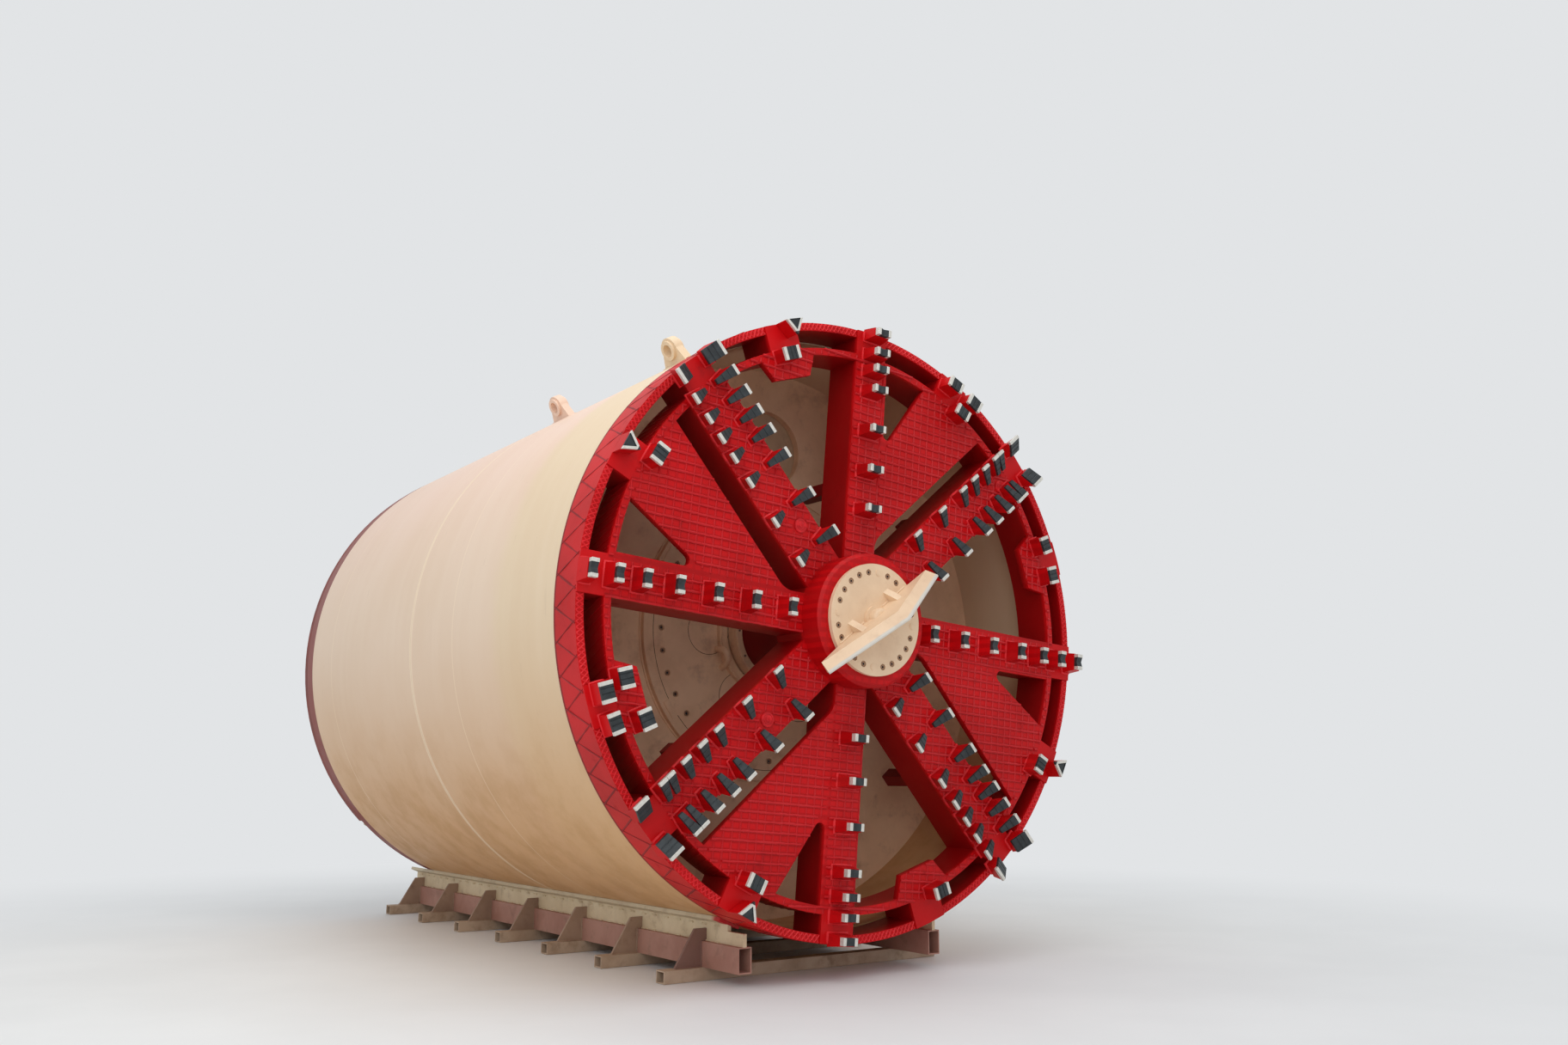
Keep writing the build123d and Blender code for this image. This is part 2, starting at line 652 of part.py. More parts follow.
DOOR_R = DOOR_HOLE_R + DOOR_LAP
door_s = BULKHEAD_S + BULKHEAD_T + RUN_GAP
hinge_x = -DOOR_R - HINGE_R - HINGE_OUT
hinge_s = door_s + HINGE_R
with BuildPart() as man_door:
    with BuildSketch(station(door_s)) as door_face:
        with Locations((0, DOOR_UP)):
            Circle(DOOR_R)
        with Locations((hinge_x / 2, DOOR_UP)):
            Rectangle(-hinge_x, HINGE_LEN)
    extrude(door_face.sketch, amount=-DOOR_T)
    with BuildSketch(Plane.XY.offset(AXIS_Z + DOOR_UP - HINGE_LEN / 2)) as knuckle:
        with Locations((hinge_x, FACE_Y + hinge_s)):
            Circle(HINGE_R)
    extrude(knuckle.sketch, amount=HINGE_LEN)
    with BuildSketch(Plane.XY.offset(AXIS_Z + DOOR_UP - HINGE_LEN)) as pin_hole:
        with Locations((hinge_x, FACE_Y + hinge_s)):
            Circle(HINGE_PIN_R + PIN_FIT)
    extrude(pin_hole.sketch, amount=2 * HINGE_LEN, mode=Mode.SUBTRACT)
save(man_door, "man_door")

with BuildPart() as door_hinge:
    with BuildSketch(Plane.XY.offset(AXIS_Z + DOOR_UP - HINGE_LEN / 2 - HINGE_EAR - PIN_FIT)) as pin:
        with Locations((hinge_x, FACE_Y + hinge_s)):
            Circle(HINGE_PIN_R)
    extrude(pin.sketch, amount=HINGE_LEN + 2 * HINGE_EAR + 2 * PIN_FIT)
    ear_back = hinge_s + HINGE_R - drive_s
    for ear_z in (-HINGE_LEN / 2 - HINGE_EAR - PIN_FIT, HINGE_LEN / 2 + PIN_FIT):
        with BuildSketch(Plane.XY.offset(AXIS_Z + DOOR_UP + ear_z)) as ear:
            with Locations((hinge_x, FACE_Y + drive_s + ear_back / 2)):
                Rectangle(2 * HINGE_R, ear_back)
        extrude(ear.sketch, amount=HINGE_EAR)
save(door_hinge, "door_hinge")

with BuildPart() as lifting_lugs:
    for lug_s in (BULKHEAD_S - LUG_FRONT_AHEAD, JOINT_S - LUG_REAR_AHEAD):
        for side in (-1, 1):
            lean = radians(side * LUG_ANGLE)
            lug_side = Plane(
                origin=(0, FACE_Y + lug_s, AXIS_Z),
                x_dir=(0, 1, 0),
                z_dir=(cos(lean), 0, -sin(lean)),
            )
            with BuildSketch(lug_side) as lug_face:
                with BuildLine():
                    eye_r = SHELL_R + LUG_HOLE_UP
                    Polyline((-LUG_FOOT, SHELL_R), (LUG_FOOT, SHELL_R), (LUG_R, eye_r),
                             (-LUG_R, eye_r), close=True)
                make_face()
                with Locations((0, eye_r)):
                    Circle(LUG_R)
                    Circle(LUG_HOLE_R, mode=Mode.SUBTRACT)
            extrude(lug_face.sketch, amount=LUG_T / 2, both=True)
            with BuildSketch(lug_side) as cheek:
                with Locations((0, SHELL_R + LUG_HOLE_UP)):
                    Circle(CHEEK_R)
                    Circle(LUG_HOLE_R, mode=Mode.SUBTRACT)
            extrude(cheek.sketch, amount=LUG_T / 2 + CHEEK_T, both=True)
save(lifting_lugs, "lifting_lugs")

# Screw conveyor
CHUTE_DROP = tube_r + CHUTE_LEN
CHUTE_ALONG = SCREW_LEN - CHUTE_BACK
LIP_HALF = CHUTE / 2 + CHUTE_FLANGE


def chute_plane(below):
    """Plane facing down from the screw's axis at the chute, a distance below it."""
    return Plane(
        origin=(
            0,
            screw_mouth[1] + CHUTE_ALONG * cos(screw_up) + below * sin(screw_up),
            screw_mouth[2] + CHUTE_ALONG * sin(screw_up) - below * cos(screw_up),
        ),
        x_dir=(1, 0, 0),
        z_dir=(0, sin(screw_up), -cos(screw_up)),
    )


with BuildPart() as screw_tube:
    with BuildSketch(screw_plane(-BULKHEAD_T * 2)) as tube_face:
        Circle(tube_r)
    extrude(tube_face.sketch, amount=SCREW_LEN + BULKHEAD_T * 2)
    with BuildSketch(station(BULKHEAD_S)) as front_cut:
        with Locations((0, -SCREW_DOWN)):
            Circle(2 * tube_r)
    extrude(front_cut.sketch, amount=4 * BULKHEAD_T, mode=Mode.SUBTRACT)
    with BuildSketch(screw_plane(SCREW_LEN - FLANGE_T)) as end_flange:
        Circle(tube_r + SCREW_FLANGE)
    extrude(end_flange.sketch, amount=FLANGE_T)
    with BuildSketch(chute_plane(0)) as chute_box:
        Rectangle(CHUTE, CHUTE)
    extrude(chute_box.sketch, amount=CHUTE_DROP)
    with BuildSketch(chute_plane(CHUTE_DROP - CHUTE_WALL)) as chute_lip:
        Rectangle(2 * LIP_HALF, 2 * LIP_HALF)
    extrude(chute_lip.sketch, amount=CHUTE_WALL)
    with BuildSketch(chute_plane(0)) as chute_hole:
        Rectangle(CHUTE - 2 * CHUTE_WALL, CHUTE - 2 * CHUTE_WALL)
    extrude(chute_hole.sketch, amount=2 * CHUTE_DROP, mode=Mode.SUBTRACT)
    with BuildSketch(screw_plane(-BULKHEAD_T * 2)) as bore:
        Circle(SCREW_R)
    extrude(bore.sketch, amount=SCREW_LEN + BULKHEAD_T * 2, mode=Mode.SUBTRACT)
save(screw_tube, "screw_tube")

with BuildPart() as screw_drive:
    with BuildSketch(screw_plane(SCREW_LEN)) as drive_face:
        Circle(tube_r + SCREW_FLANGE)
    extrude(drive_face.sketch, amount=SCREW_DRIVE_LEN, taper=6)
save(screw_drive, "screw_drive")

with BuildPart() as auger:
    with BuildSketch(screw_plane(-AUGER_NOSE)) as auger_shaft:
        Circle(AUGER_SHAFT_R)
    extrude(auger_shaft.sketch, amount=SCREW_LEN + AUGER_NOSE - PIN_FIT)
    step_turn = 360.0 / FLIGHT_STEPS
    step_along = AUGER_PITCH / FLIGHT_STEPS
    for step in range(FLIGHT_STEPS * FLIGHT_TURNS):
        with BuildSketch(screw_plane(step * step_along - AUGER_NOSE)) as blade:
            with BuildLine():
                sweep_arc = CenterArc((0, 0), SCREW_R - AUGER_GAP, step * step_turn, step_turn)
                Polyline(sweep_arc @ 1, (0, 0), sweep_arc @ 0)
            make_face()
        extrude(blade.sketch, amount=step_along + FLIGHT_LAP)
save(auger, "auger")

gate_top = CHUTE_DROP + PIN_FIT
with BuildPart() as gate_rails:
    with BuildSketch(screw_plane(CHUTE_ALONG - LIP_HALF - GATE_TRAVEL)) as rail_ends:
        for side in (-1, 1):
            with Locations((side * (LIP_HALF + GATE_RAIL / 2), CHUTE_DROP + (GATE_T - CHUTE_WALL) / 2)):
                Rectangle(GATE_RAIL, GATE_T + CHUTE_WALL + 2 * PIN_FIT + GATE_RAIL)
            with Locations((side * LIP_HALF, gate_top + GATE_T + PIN_FIT + GATE_RAIL / 4)):
                Rectangle(2 * GATE_RAIL, GATE_RAIL / 2)
    extrude(rail_ends.sketch, amount=2 * LIP_HALF + GATE_TRAVEL)
save(gate_rails, "gate_rails")

with BuildPart() as discharge_gate:
    with BuildSketch(chute_plane(gate_top)) as gate_face:
        Rectangle(2 * LIP_HALF - 2, 2 * LIP_HALF)
    extrude(gate_face.sketch, amount=GATE_T)
save(discharge_gate, "discharge_gate")

# Steering cylinders
STEER_X = (SHELL_IN - STEER_IN) * cos(radians(STEER_ANGLE))
STEER_Z = (SHELL_IN - STEER_IN) * sin(radians(STEER_ANGLE))
BARREL_S = JOINT_S + BARREL_BEHIND
corners = [(x, z) for x in (-STEER_X, STEER_X) for z in (-STEER_Z, STEER_Z)]
with BuildPart() as steering_barrels:
    with BuildSketch(station(BARREL_S)) as barrel_face:
        with Locations(*corners):
            Circle(BARREL_R)
    extrude(barrel_face.sketch, amount=-BARREL_LEN)
    with BuildSketch(station(BARREL_S)) as barrel_bore:
        with Locations(*corners):
            Circle(ROD_R + PIN_FIT)
    extrude(barrel_bore.sketch, amount=-(BARREL_LEN - BARREL_R), mode=Mode.SUBTRACT)
save(steering_barrels, "steering_barrels")

with BuildPart() as barrel_brackets:
    with BuildSketch(station(BARREL_S + BARREL_LEN)) as bracket_face:
        for x, z in corners:
            with Locations((x * 1.1, z)):
                Rectangle(SHELL_IN, 2 * BARREL_R)
        Rectangle(2 * (STEER_X - BARREL_R), 2 * SHELL_R, mode=Mode.SUBTRACT)
        Circle(SHELL_IN, mode=Mode.INTERSECT)
    extrude(bracket_face.sketch, amount=-BRACKET_T)
save(barrel_brackets, "barrel_brackets")


def rod_pair(z):
    """Two piston rods with eyes at one height off the axis."""
    for x in (-STEER_X, STEER_X):
        with BuildSketch(Plane.YZ.offset(x - EYE_W / 2)) as eye:
            with Locations((FACE_Y + JOINT_S, AXIS_Z + z)):
                Circle(EYE_R)
        extrude(eye.sketch, amount=EYE_W)
    rod_s = JOINT_S + EAR_R + RUN_GAP
    with BuildSketch(station(rod_s)) as rod:
        with Locations((-STEER_X, z), (STEER_X, z)):
            Circle(ROD_R)
    rod_end_s = BARREL_S + BARREL_LEN - BARREL_R - ROD_END_GAP
    extrude(rod.sketch, amount=-(rod_end_s - rod_s))
    for x in (-STEER_X, STEER_X):
        with BuildSketch(Plane.YZ.offset(x - EYE_W)) as pin_hole:
            with Locations((FACE_Y + JOINT_S, AXIS_Z + z)):
                Circle(PIN_R + PIN_GAP)
        extrude(pin_hole.sketch, amount=2 * EYE_W, mode=Mode.SUBTRACT)


with BuildPart() as lower_rods:
    rod_pair(-STEER_Z)
save(lower_rods, "lower_rods")

with BuildPart() as upper_rods:
    rod_pair(STEER_Z)
save(upper_rods, "upper_rods")

with BuildPart() as steering_clevises:
    for x, z in corners:
        for side in (-1, 1):
            ear_x = x + side * (EYE_W / 2 + PIN_GAP + EAR_T / 2) - EAR_T / 2
            with BuildSketch(Plane.YZ.offset(ear_x)) as ear:
                with Locations((FACE_Y + JOINT_S, AXIS_Z + z)):
                    Circle(EAR_R)
                with Locations((FACE_Y + JOINT_S, AXIS_Z + z + (SHELL_R if z > 0 else -SHELL_R) / 2)):
                    Rectangle(2 * EAR_R, SHELL_R)
            extrude(ear.sketch, amount=EAR_T)
        with BuildSketch(Plane.YZ.offset(x - EYE_W / 2 - PIN_GAP - EAR_T)) as pin:
            with Locations((FACE_Y + JOINT_S, AXIS_Z + z)):
                Circle(PIN_R)
        extrude(pin.sketch, amount=EYE_W + 2 * PIN_GAP + 2 * EAR_T)
    with BuildSketch(station(JOINT_S - SPIGOT_LEN)) as inside:
        Circle(SPIGOT_R - SPIGOT_T)
    extrude(inside.sketch, amount=-2 * SPIGOT_LEN, mode=Mode.INTERSECT)
save(steering_clevises, "steering_clevises")

# Rear shield
rear_front_s = JOINT_S + RUN_GAP
with BuildPart() as rear_shell:
    ring(rear_front_s, REAR_S - rear_front_s, SHELL_R, SHELL_IN)
save(rear_shell, "rear_shell")

tail_r = SHELL_R - TAIL_STEP
wedge_x = 2 * tail_r * cos(radians(CHANNEL_ANGLE))
wedge_z = -2 * tail_r * sin(radians(CHANNEL_ANGLE))
with BuildPart() as tail_ring:
    ring(REAR_S, TAIL_LEN, tail_r, tail_r - TAIL_WALL)
    with BuildSketch(station(REAR_S)) as channel:
        Circle(tail_r)
        Circle(tail_r - CHANNEL_DEEP, mode=Mode.SUBTRACT)
        with BuildSketch(mode=Mode.INTERSECT):
            with BuildLine():
                Polyline((0, 0), (-wedge_x, wedge_z), (wedge_x, wedge_z), close=True)
            make_face()
    extrude(channel.sketch, amount=-(TAIL_LEN - CHANNEL_LIP), mode=Mode.SUBTRACT)
save(tail_ring, "tail_ring")

DECK_DOWN = SHELL_IN - DECK_OVER
rear_ribs_s = [REAR_S - REAR_RIB_AHEAD - REAR_RIB_PITCH * i for i in range(REAR_RIB_COUNT)]
with BuildPart() as rear_ribs:
    for rib_s in rear_ribs_s:
        with BuildSketch(station(rib_s)) as rib_face:
            Circle(SHELL_IN)
            Circle(SHELL_IN - RIB_DEEP, mode=Mode.SUBTRACT)
            with BuildSketch() as bearer:
                Circle(SHELL_IN)
                with Locations((0, SHELL_R - DECK_DOWN - DECK_T)):
                    Rectangle(2 * SHELL_R, 2 * SHELL_R, mode=Mode.SUBTRACT)
        extrude(rib_face.sketch, amount=-RIB_T)
save(rear_ribs, "rear_ribs")

with BuildPart() as deck:
    with BuildSketch(Plane.XY.offset(AXIS_Z - DECK_DOWN - DECK_T)):
        with Locations((0, FACE_Y + (rear_ribs_s[0] + rear_ribs_s[-1] + RIB_T) / 2)):
            Rectangle(DECK_W, rear_ribs_s[0] - rear_ribs_s[-1] + RIB_T)
    extrude(amount=DECK_T)
save(deck, "deck")

unit_y = FACE_Y + rear_ribs_s[0] - UNIT_AHEAD
pack_x = DECK_W / 2 - PACK_EDGE - PACK[0] / 2
with BuildPart() as power_pack:
    with BuildSketch(Plane.XY.offset(AXIS_Z - DECK_DOWN)):
        with Locations((-pack_x, unit_y)):
            Rectangle(PACK[0], PACK[1])
    extrude(amount=PACK[2])
    fillet(power_pack.edges().filter_by(Axis.Z), PACK_CORNER)
    with BuildSketch(Plane.XZ.offset(PACK[1] / 2 - PUMP_END - unit_y)) as pump:
        with Locations((-pack_x, AXIS_Z - DECK_DOWN + PACK[2] + PUMP_R)):
            Circle(PUMP_R)
    extrude(pump.sketch, amount=-PUMP_LEN)
save(power_pack, "power_pack")

with BuildPart() as control_cabinet:
    with BuildSketch(Plane.XY.offset(AXIS_Z - DECK_DOWN)):
        with Locations((DECK_W / 2 - CABINET_EDGE - CABINET[0] / 2, unit_y)):
            Rectangle(CABINET[0], CABINET[1])
    extrude(amount=CABINET[2])
    fillet(control_cabinet.edges().filter_by(Axis.Z), CABINET_CORNER)
save(control_cabinet, "control_cabinet")

# Cradle
rail_x = SEAT_R * sin(radians(SEAT_ANGLE))
seat_z = -SEAT_R * cos(radians(SEAT_ANGLE))
seat_front_s = HEAD_DEPTH + SEAT_BEHIND
beam_z = BEAM_TOP - AXIS_Z

with BuildPart() as cradle_seats:
    with BuildSketch(station(seat_front_s)) as seat_faces:
        for side in (-1, 1):
            with PolarLocations(SEAT_R, 1, start_angle=-90 + side * SEAT_ANGLE):
                Rectangle(SEAT_T, SEAT_W)
    extrude(seat_faces.sketch, amount=-(CRADLE_REAR_S - seat_front_s))
save(cradle_seats, "cradle_seats")

with BuildPart() as cradle_webs:
    with BuildSketch(station(seat_front_s)) as web_ends:
        with Locations((-rail_x, (seat_z + beam_z) / 2), (rail_x, (seat_z + beam_z) / 2)):
            Rectangle(WEB_T, seat_z - beam_z)
        for side in (-1, 1):
            with PolarLocations(SEAT_R, 1, start_angle=-90 + side * SEAT_ANGLE):
                Rectangle(SEAT_T, SEAT_W, mode=Mode.SUBTRACT)
    extrude(web_ends.sketch, amount=-(CRADLE_REAR_S - seat_front_s))
    nose_h = seat_z - beam_z - NOSE_DROP
    with BuildSketch(station(BEAM_FRONT_S)) as web_noses:
        with Locations((-rail_x, beam_z + nose_h / 2), (rail_x, beam_z + nose_h / 2)):
            Rectangle(WEB_T, nose_h)
    extrude(web_noses.sketch, amount=-(seat_front_s - BEAM_FRONT_S))
save(cradle_webs, "cradle_webs")

with BuildPart() as cradle_beams:
    with BuildSketch(station(BEAM_FRONT_S)) as beam_ends:
        with Locations((-rail_x, beam_z - BEAM[1] / 2), (rail_x, beam_z - BEAM[1] / 2)):
            Rectangle(BEAM[0], BEAM[1])
            Rectangle(BEAM[0] - 2 * TUBE_WALL, BEAM[1] - 2 * TUBE_WALL, mode=Mode.SUBTRACT)
    extrude(beam_ends.sketch, amount=-(CRADLE_REAR_S - BEAM_FRONT_S))
save(cradle_beams, "cradle_beams")

cross_pitch = (CRADLE_REAR_S - CROSS_END - CROSS_FIRST_S) / (CROSS_COUNT - 1)
cross_spots = [CROSS_FIRST_S + cross_pitch * i for i in range(CROSS_COUNT)]
tube_half = rail_x + BEAM[0] / 2 + TUBE_PAST
with BuildPart() as cross_tubes:
    for cross_s in cross_spots:
        with BuildSketch(Plane.YZ.offset(-tube_half)) as tube_end:
            with Locations((FACE_Y + cross_s, TUBE[1] / 2)):
                Rectangle(TUBE[0], TUBE[1])
                Rectangle(TUBE[0] - 2 * TUBE_WALL, TUBE[1] - 2 * TUBE_WALL, mode=Mode.SUBTRACT)
        extrude(tube_end.sketch, amount=2 * tube_half)
save(cross_tubes, "cross_tubes")

with BuildPart() as cradle_gussets:
    gusset_top = seat_z - GUSSET_DROP
    tube_top = TUBE[1] - AXIS_Z
    web_face = rail_x + WEB_T / 2
    beam_face = rail_x + BEAM[0] / 2
    for cross_s in cross_spots:
        with BuildSketch(station(cross_s - GUSSET_T / 2)) as gusset:
            with BuildLine():
                Polyline(
                    (web_face, gusset_top), (web_face, beam_z), (beam_face, beam_z),
                    (beam_face, tube_top), (beam_face + GUSSET_FOOT, tube_top),
                    (web_face + GUSSET_HEAD, gusset_top), close=True,
                )
            make_face()
            mirror(about=Plane.YZ)
        extrude(gusset.sketch, amount=-GUSSET_T)
save(cradle_gussets, "cradle_gussets")
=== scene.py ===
# %% [markdown]
# # Dressing a pipe jacking machine
# The machine's plates, rings and tubes arrive from CAD as fixed solids. This
# lesson gives them what a workshop gives the real one: weld beads, tool edges,
# bolts, pipes, paint, dust and wear. Every piece is placed in metres, in the
# same frame as the CAD, and rides on the body that carries it.

# %% Load the solids
import json
import random
from math import cos, hypot, pi, radians, sin, sqrt, tan

import bmesh
import bpy
from mathutils import Matrix, Vector


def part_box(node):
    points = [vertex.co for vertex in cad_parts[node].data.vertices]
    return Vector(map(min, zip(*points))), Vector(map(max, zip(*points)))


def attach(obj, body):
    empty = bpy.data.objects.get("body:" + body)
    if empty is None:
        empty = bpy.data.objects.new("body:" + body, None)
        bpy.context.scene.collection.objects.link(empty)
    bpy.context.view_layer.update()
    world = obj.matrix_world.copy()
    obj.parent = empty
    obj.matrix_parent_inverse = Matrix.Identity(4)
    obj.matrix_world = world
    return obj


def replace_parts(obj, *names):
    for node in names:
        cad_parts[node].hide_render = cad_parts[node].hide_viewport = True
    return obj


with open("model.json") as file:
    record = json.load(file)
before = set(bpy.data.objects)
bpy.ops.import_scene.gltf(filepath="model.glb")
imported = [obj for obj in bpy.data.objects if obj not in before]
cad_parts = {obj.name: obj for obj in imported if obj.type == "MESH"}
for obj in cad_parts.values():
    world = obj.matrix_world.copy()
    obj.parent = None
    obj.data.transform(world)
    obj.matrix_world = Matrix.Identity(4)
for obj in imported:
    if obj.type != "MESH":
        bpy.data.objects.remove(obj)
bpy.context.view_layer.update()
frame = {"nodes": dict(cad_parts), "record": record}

# %% [markdown]
# The boxes of a few solids give the sizes that the new pieces need, so nothing
# is measured twice. The cutterhead faces -Y and turns about a level axis. A
# station is the distance behind the cutterhead's face. A solid's mesh keeps its
# places in single precision, so the stations read from it are rounded.

# %% Read the sizes that matter
rim_low, rim_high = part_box("cutter_rim")
ring_low, ring_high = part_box("inner_ring")
shell_low, shell_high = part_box("front_shell")
hub_low, hub_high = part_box("hub")
deck_low, deck_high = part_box("deck")
pack_low, pack_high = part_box("power_pack")
cabinet_low, cabinet_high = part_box("control_cabinet")
door_low, door_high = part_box("man_door")
AXIS_Z = (rim_low.z + rim_high.z) / 2
FACE_Y = ring_low.y
RIM_R = (rim_high.x - rim_low.x) / 2
RIM_BACK = rim_high.y - FACE_Y
RIM_WALL, RING_WALL, SHELL_WALL = 0.055, 0.05, 0.05
RING_OUT = (ring_high.x - ring_low.x) / 2
RING_IN = RING_OUT - RING_WALL
HUB_R = (hub_high.x - hub_low.x) / 2
SHELL_R = (shell_high.x - shell_low.x) / 2
SHELL_IN = SHELL_R - SHELL_WALL
JOINT_S = shell_high.y - FACE_Y
DRIVE_S = round(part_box("main_drive")[0].y - FACE_Y, 4)
MOTOR_S = round(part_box("drive_motors")[0].y - FACE_Y, 4)
SEAT_S = round(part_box("cradle_seats")[0].y - FACE_Y, 4)
FLANGE_S = 1.02
HEAD_TURN = radians(-5)
print("axis height", round(AXIS_Z, 4), "rim radius", round(RIM_R, 4))
print("stations of drive, motors and seats", DRIVE_S, MOTOR_S, SEAT_S)

# %% [markdown]
# ## Places on the head and the shells
# A piece is modelled at the origin with Z up and then moved by a matrix. On the
# cutterhead its X points out along a radius and its Z points ahead. On a shell
# its X runs along the machine and its Z points out. The matrix goes straight
# into the mesh, so every finished object stays unturned at the origin.

# %% Matrices for places
def placed(out, across, ahead, centre):
    """Matrix with these three directions and this centre."""
    matrix = Matrix((out, across, ahead)).transposed().to_4x4()
    matrix.translation = centre
    return matrix


def facing(normal, centre, up=(0, 0, 1)):
    """Place whose Z looks along a normal and whose Y leans up."""
    normal = Vector(normal).normalized()
    side = Vector(up).cross(normal).normalized()
    return placed(side, normal.cross(side), normal, Vector(centre))


def on_head(angle, radius=0.0, aside=0.0, lift=0.0):
    """Place on the cutterhead's face, at an angle in degrees from its first spoke."""
    turn = HEAD_TURN + radians(angle)
    out = Vector((cos(turn), 0, sin(turn)))
    across = Vector((-sin(turn), 0, cos(turn)))
    ahead = Vector((0, -1, 0))
    centre = Vector((0, FACE_Y, AXIS_Z)) + out * radius + across * aside + ahead * lift
    return placed(out, across, ahead, centre)


def on_shell(station, angle, radius):
    """Place on a cylinder round the machine's axis; the angle runs from the right side up."""
    turn = radians(angle)
    out = Vector((cos(turn), 0, sin(turn)))
    along = Vector((0, 1, 0))
    centre = Vector((0, FACE_Y + station, AXIS_Z)) + out * radius
    return placed(along, out.cross(along), out, centre)


def at_station(station, angle=0.0, radius=0.0, look=-1):
    """Place on an upright plane round the axis, looking ahead (-1) or back (1)."""
    turn = radians(angle)
    centre = (radius * cos(turn), FACE_Y + station, AXIS_Z + radius * sin(turn))
    return facing((0, look, 0), centre)


# %% [markdown]
# Blender's operators act on whatever is selected, and the loaded solids start
# selected. So each new piece begins with everything deselected. Faces are then
# picked in code, by where they lie and which way they look.

# %% Helpers for modelling
def object_mode():
    """Leave edit mode, if it is on."""
    if bpy.context.mode != "OBJECT":
        bpy.ops.object.mode_set(mode="OBJECT")


def edit_all():
    """Edit mode with the whole active piece selected."""
    bpy.ops.object.mode_set(mode="EDIT")
    bpy.ops.mesh.select_all(action="SELECT")


def start():
    """Nothing selected, in object mode."""
    object_mode()
    bpy.ops.object.select_all(action="DESELECT")


def only(piece):
    """This piece alone selected and active."""
    start()
    piece.select_set(True)
    bpy.context.view_layer.objects.active = piece


def box(size, centre=(0, 0, 0)):
    """A new block of this size, as the active object."""
    start()
    bpy.ops.mesh.primitive_cube_add(size=1, location=centre)
    block = bpy.context.object
    block.scale = size
    bpy.ops.object.transform_apply()
    return block


def disc(radius, height, sides=32, centre=(0, 0, 0)):
    """A new round body that stands on its centre."""
    start()
    x, y, z = centre
    bpy.ops.mesh.primitive_cylinder_add(
        vertices=sides, radius=radius, depth=height, location=(x, y, z + height / 2))
    bpy.ops.object.transform_apply()
    return bpy.context.object


def pick(test):
    """Select the active piece's faces that pass a test of centre and normal."""
    bpy.ops.object.mode_set(mode="EDIT")
    bpy.ops.mesh.select_mode(type="FACE")
    bpy.ops.mesh.select_all(action="DESELECT")
    mesh = bmesh.from_edit_mesh(bpy.context.object.data)
    for face in mesh.faces:
        if test(face.calc_center_median(), face.normal):
            face.select_set(True)
    bmesh.update_edit_mesh(bpy.context.object.data)


def top(centre, normal):
    """A test for the faces that look up."""
    return normal.z > 0.9


def raised(height):
    """Extrude the picked faces up, or down if negative."""
    bpy.ops.mesh.extrude_region_move(TRANSFORM_OT_translate={"value": (0, 0, height)})


def stepped(piece, steps):
    """Inset the top and push it up or down, step after step."""
    pick(top)
    for amount, height in steps:
        if amount:
            bpy.ops.mesh.inset(thickness=amount, depth=0)
        if height:
            raised(height)
    object_mode()
    return piece


def hoop(outer, inner, height, sides=64):
    """A flat ring: two circles bridged, then given a height."""
    start()
    bpy.ops.mesh.primitive_circle_add(vertices=sides, radius=outer)
    ring = bpy.context.object
    bpy.ops.object.mode_set(mode="EDIT")
    bpy.ops.mesh.primitive_circle_add(vertices=sides, radius=inner)
    edit_all()
    bpy.ops.mesh.bridge_edge_loops()
    edit_all()
    raised(height)
    edit_all()
    bpy.ops.mesh.normals_make_consistent(inside=False)
    object_mode()
    return ring


def soften(width):
    """Bevel the active piece's edges for good."""
    object_mode()
    piece = bpy.context.object
    bevel = piece.modifiers.new("edges", "BEVEL")
    bevel.width = width
    bevel.segments = 1
    bevel.limit_method = "ANGLE"
    bevel.angle_limit = radians(30)
    bpy.ops.object.modifier_apply(modifier=bevel.name)
    return piece


def cut_rows(places):
    """Cut the active piece across its length at these places."""
    for place in places:
        edit_all()
        bpy.ops.mesh.bisect(plane_co=(0, place, 0), plane_no=(0, 1, 0))


def two_tone(piece, first, second, test):
    """One finish over the piece and a second where faces pass the test."""
    piece.data.materials.clear()
    piece.data.materials.append(first)
    piece.data.materials.append(second)
    for face in piece.data.polygons:
        face.material_index = 1 if test(face.center, face.normal) else 0
    return piece


def joined(name, pieces):
    """All these pieces as one object with this name."""
    start()
    for piece in pieces:
        piece.select_set(True)
    bpy.context.view_layer.objects.active = pieces[0]
    if len(pieces) > 1:
        bpy.ops.object.join()
    pieces[0].name = name
    pieces[0].data.name = name
    return pieces[0]


def copies(model, matrices, name):
    """The model copied to each place, each with its own mesh, then joined; the model goes."""
    object_mode()
    pieces = []
    for matrix in matrices:
        piece = model.copy()
        piece.data = model.data.copy()
        piece.data.transform(matrix)
        bpy.context.collection.objects.link(piece)
        pieces.append(piece)
    bpy.data.objects.remove(model)
    return joined(name, pieces)


# %% [markdown]
# ## Materials in plain Python
# A finish is a web of small nodes. Written by hand that is long, so a socket is
# wrapped in a class that understands +, - and *. Every other node comes from
# one method, which sets the node's options first and its sockets after.

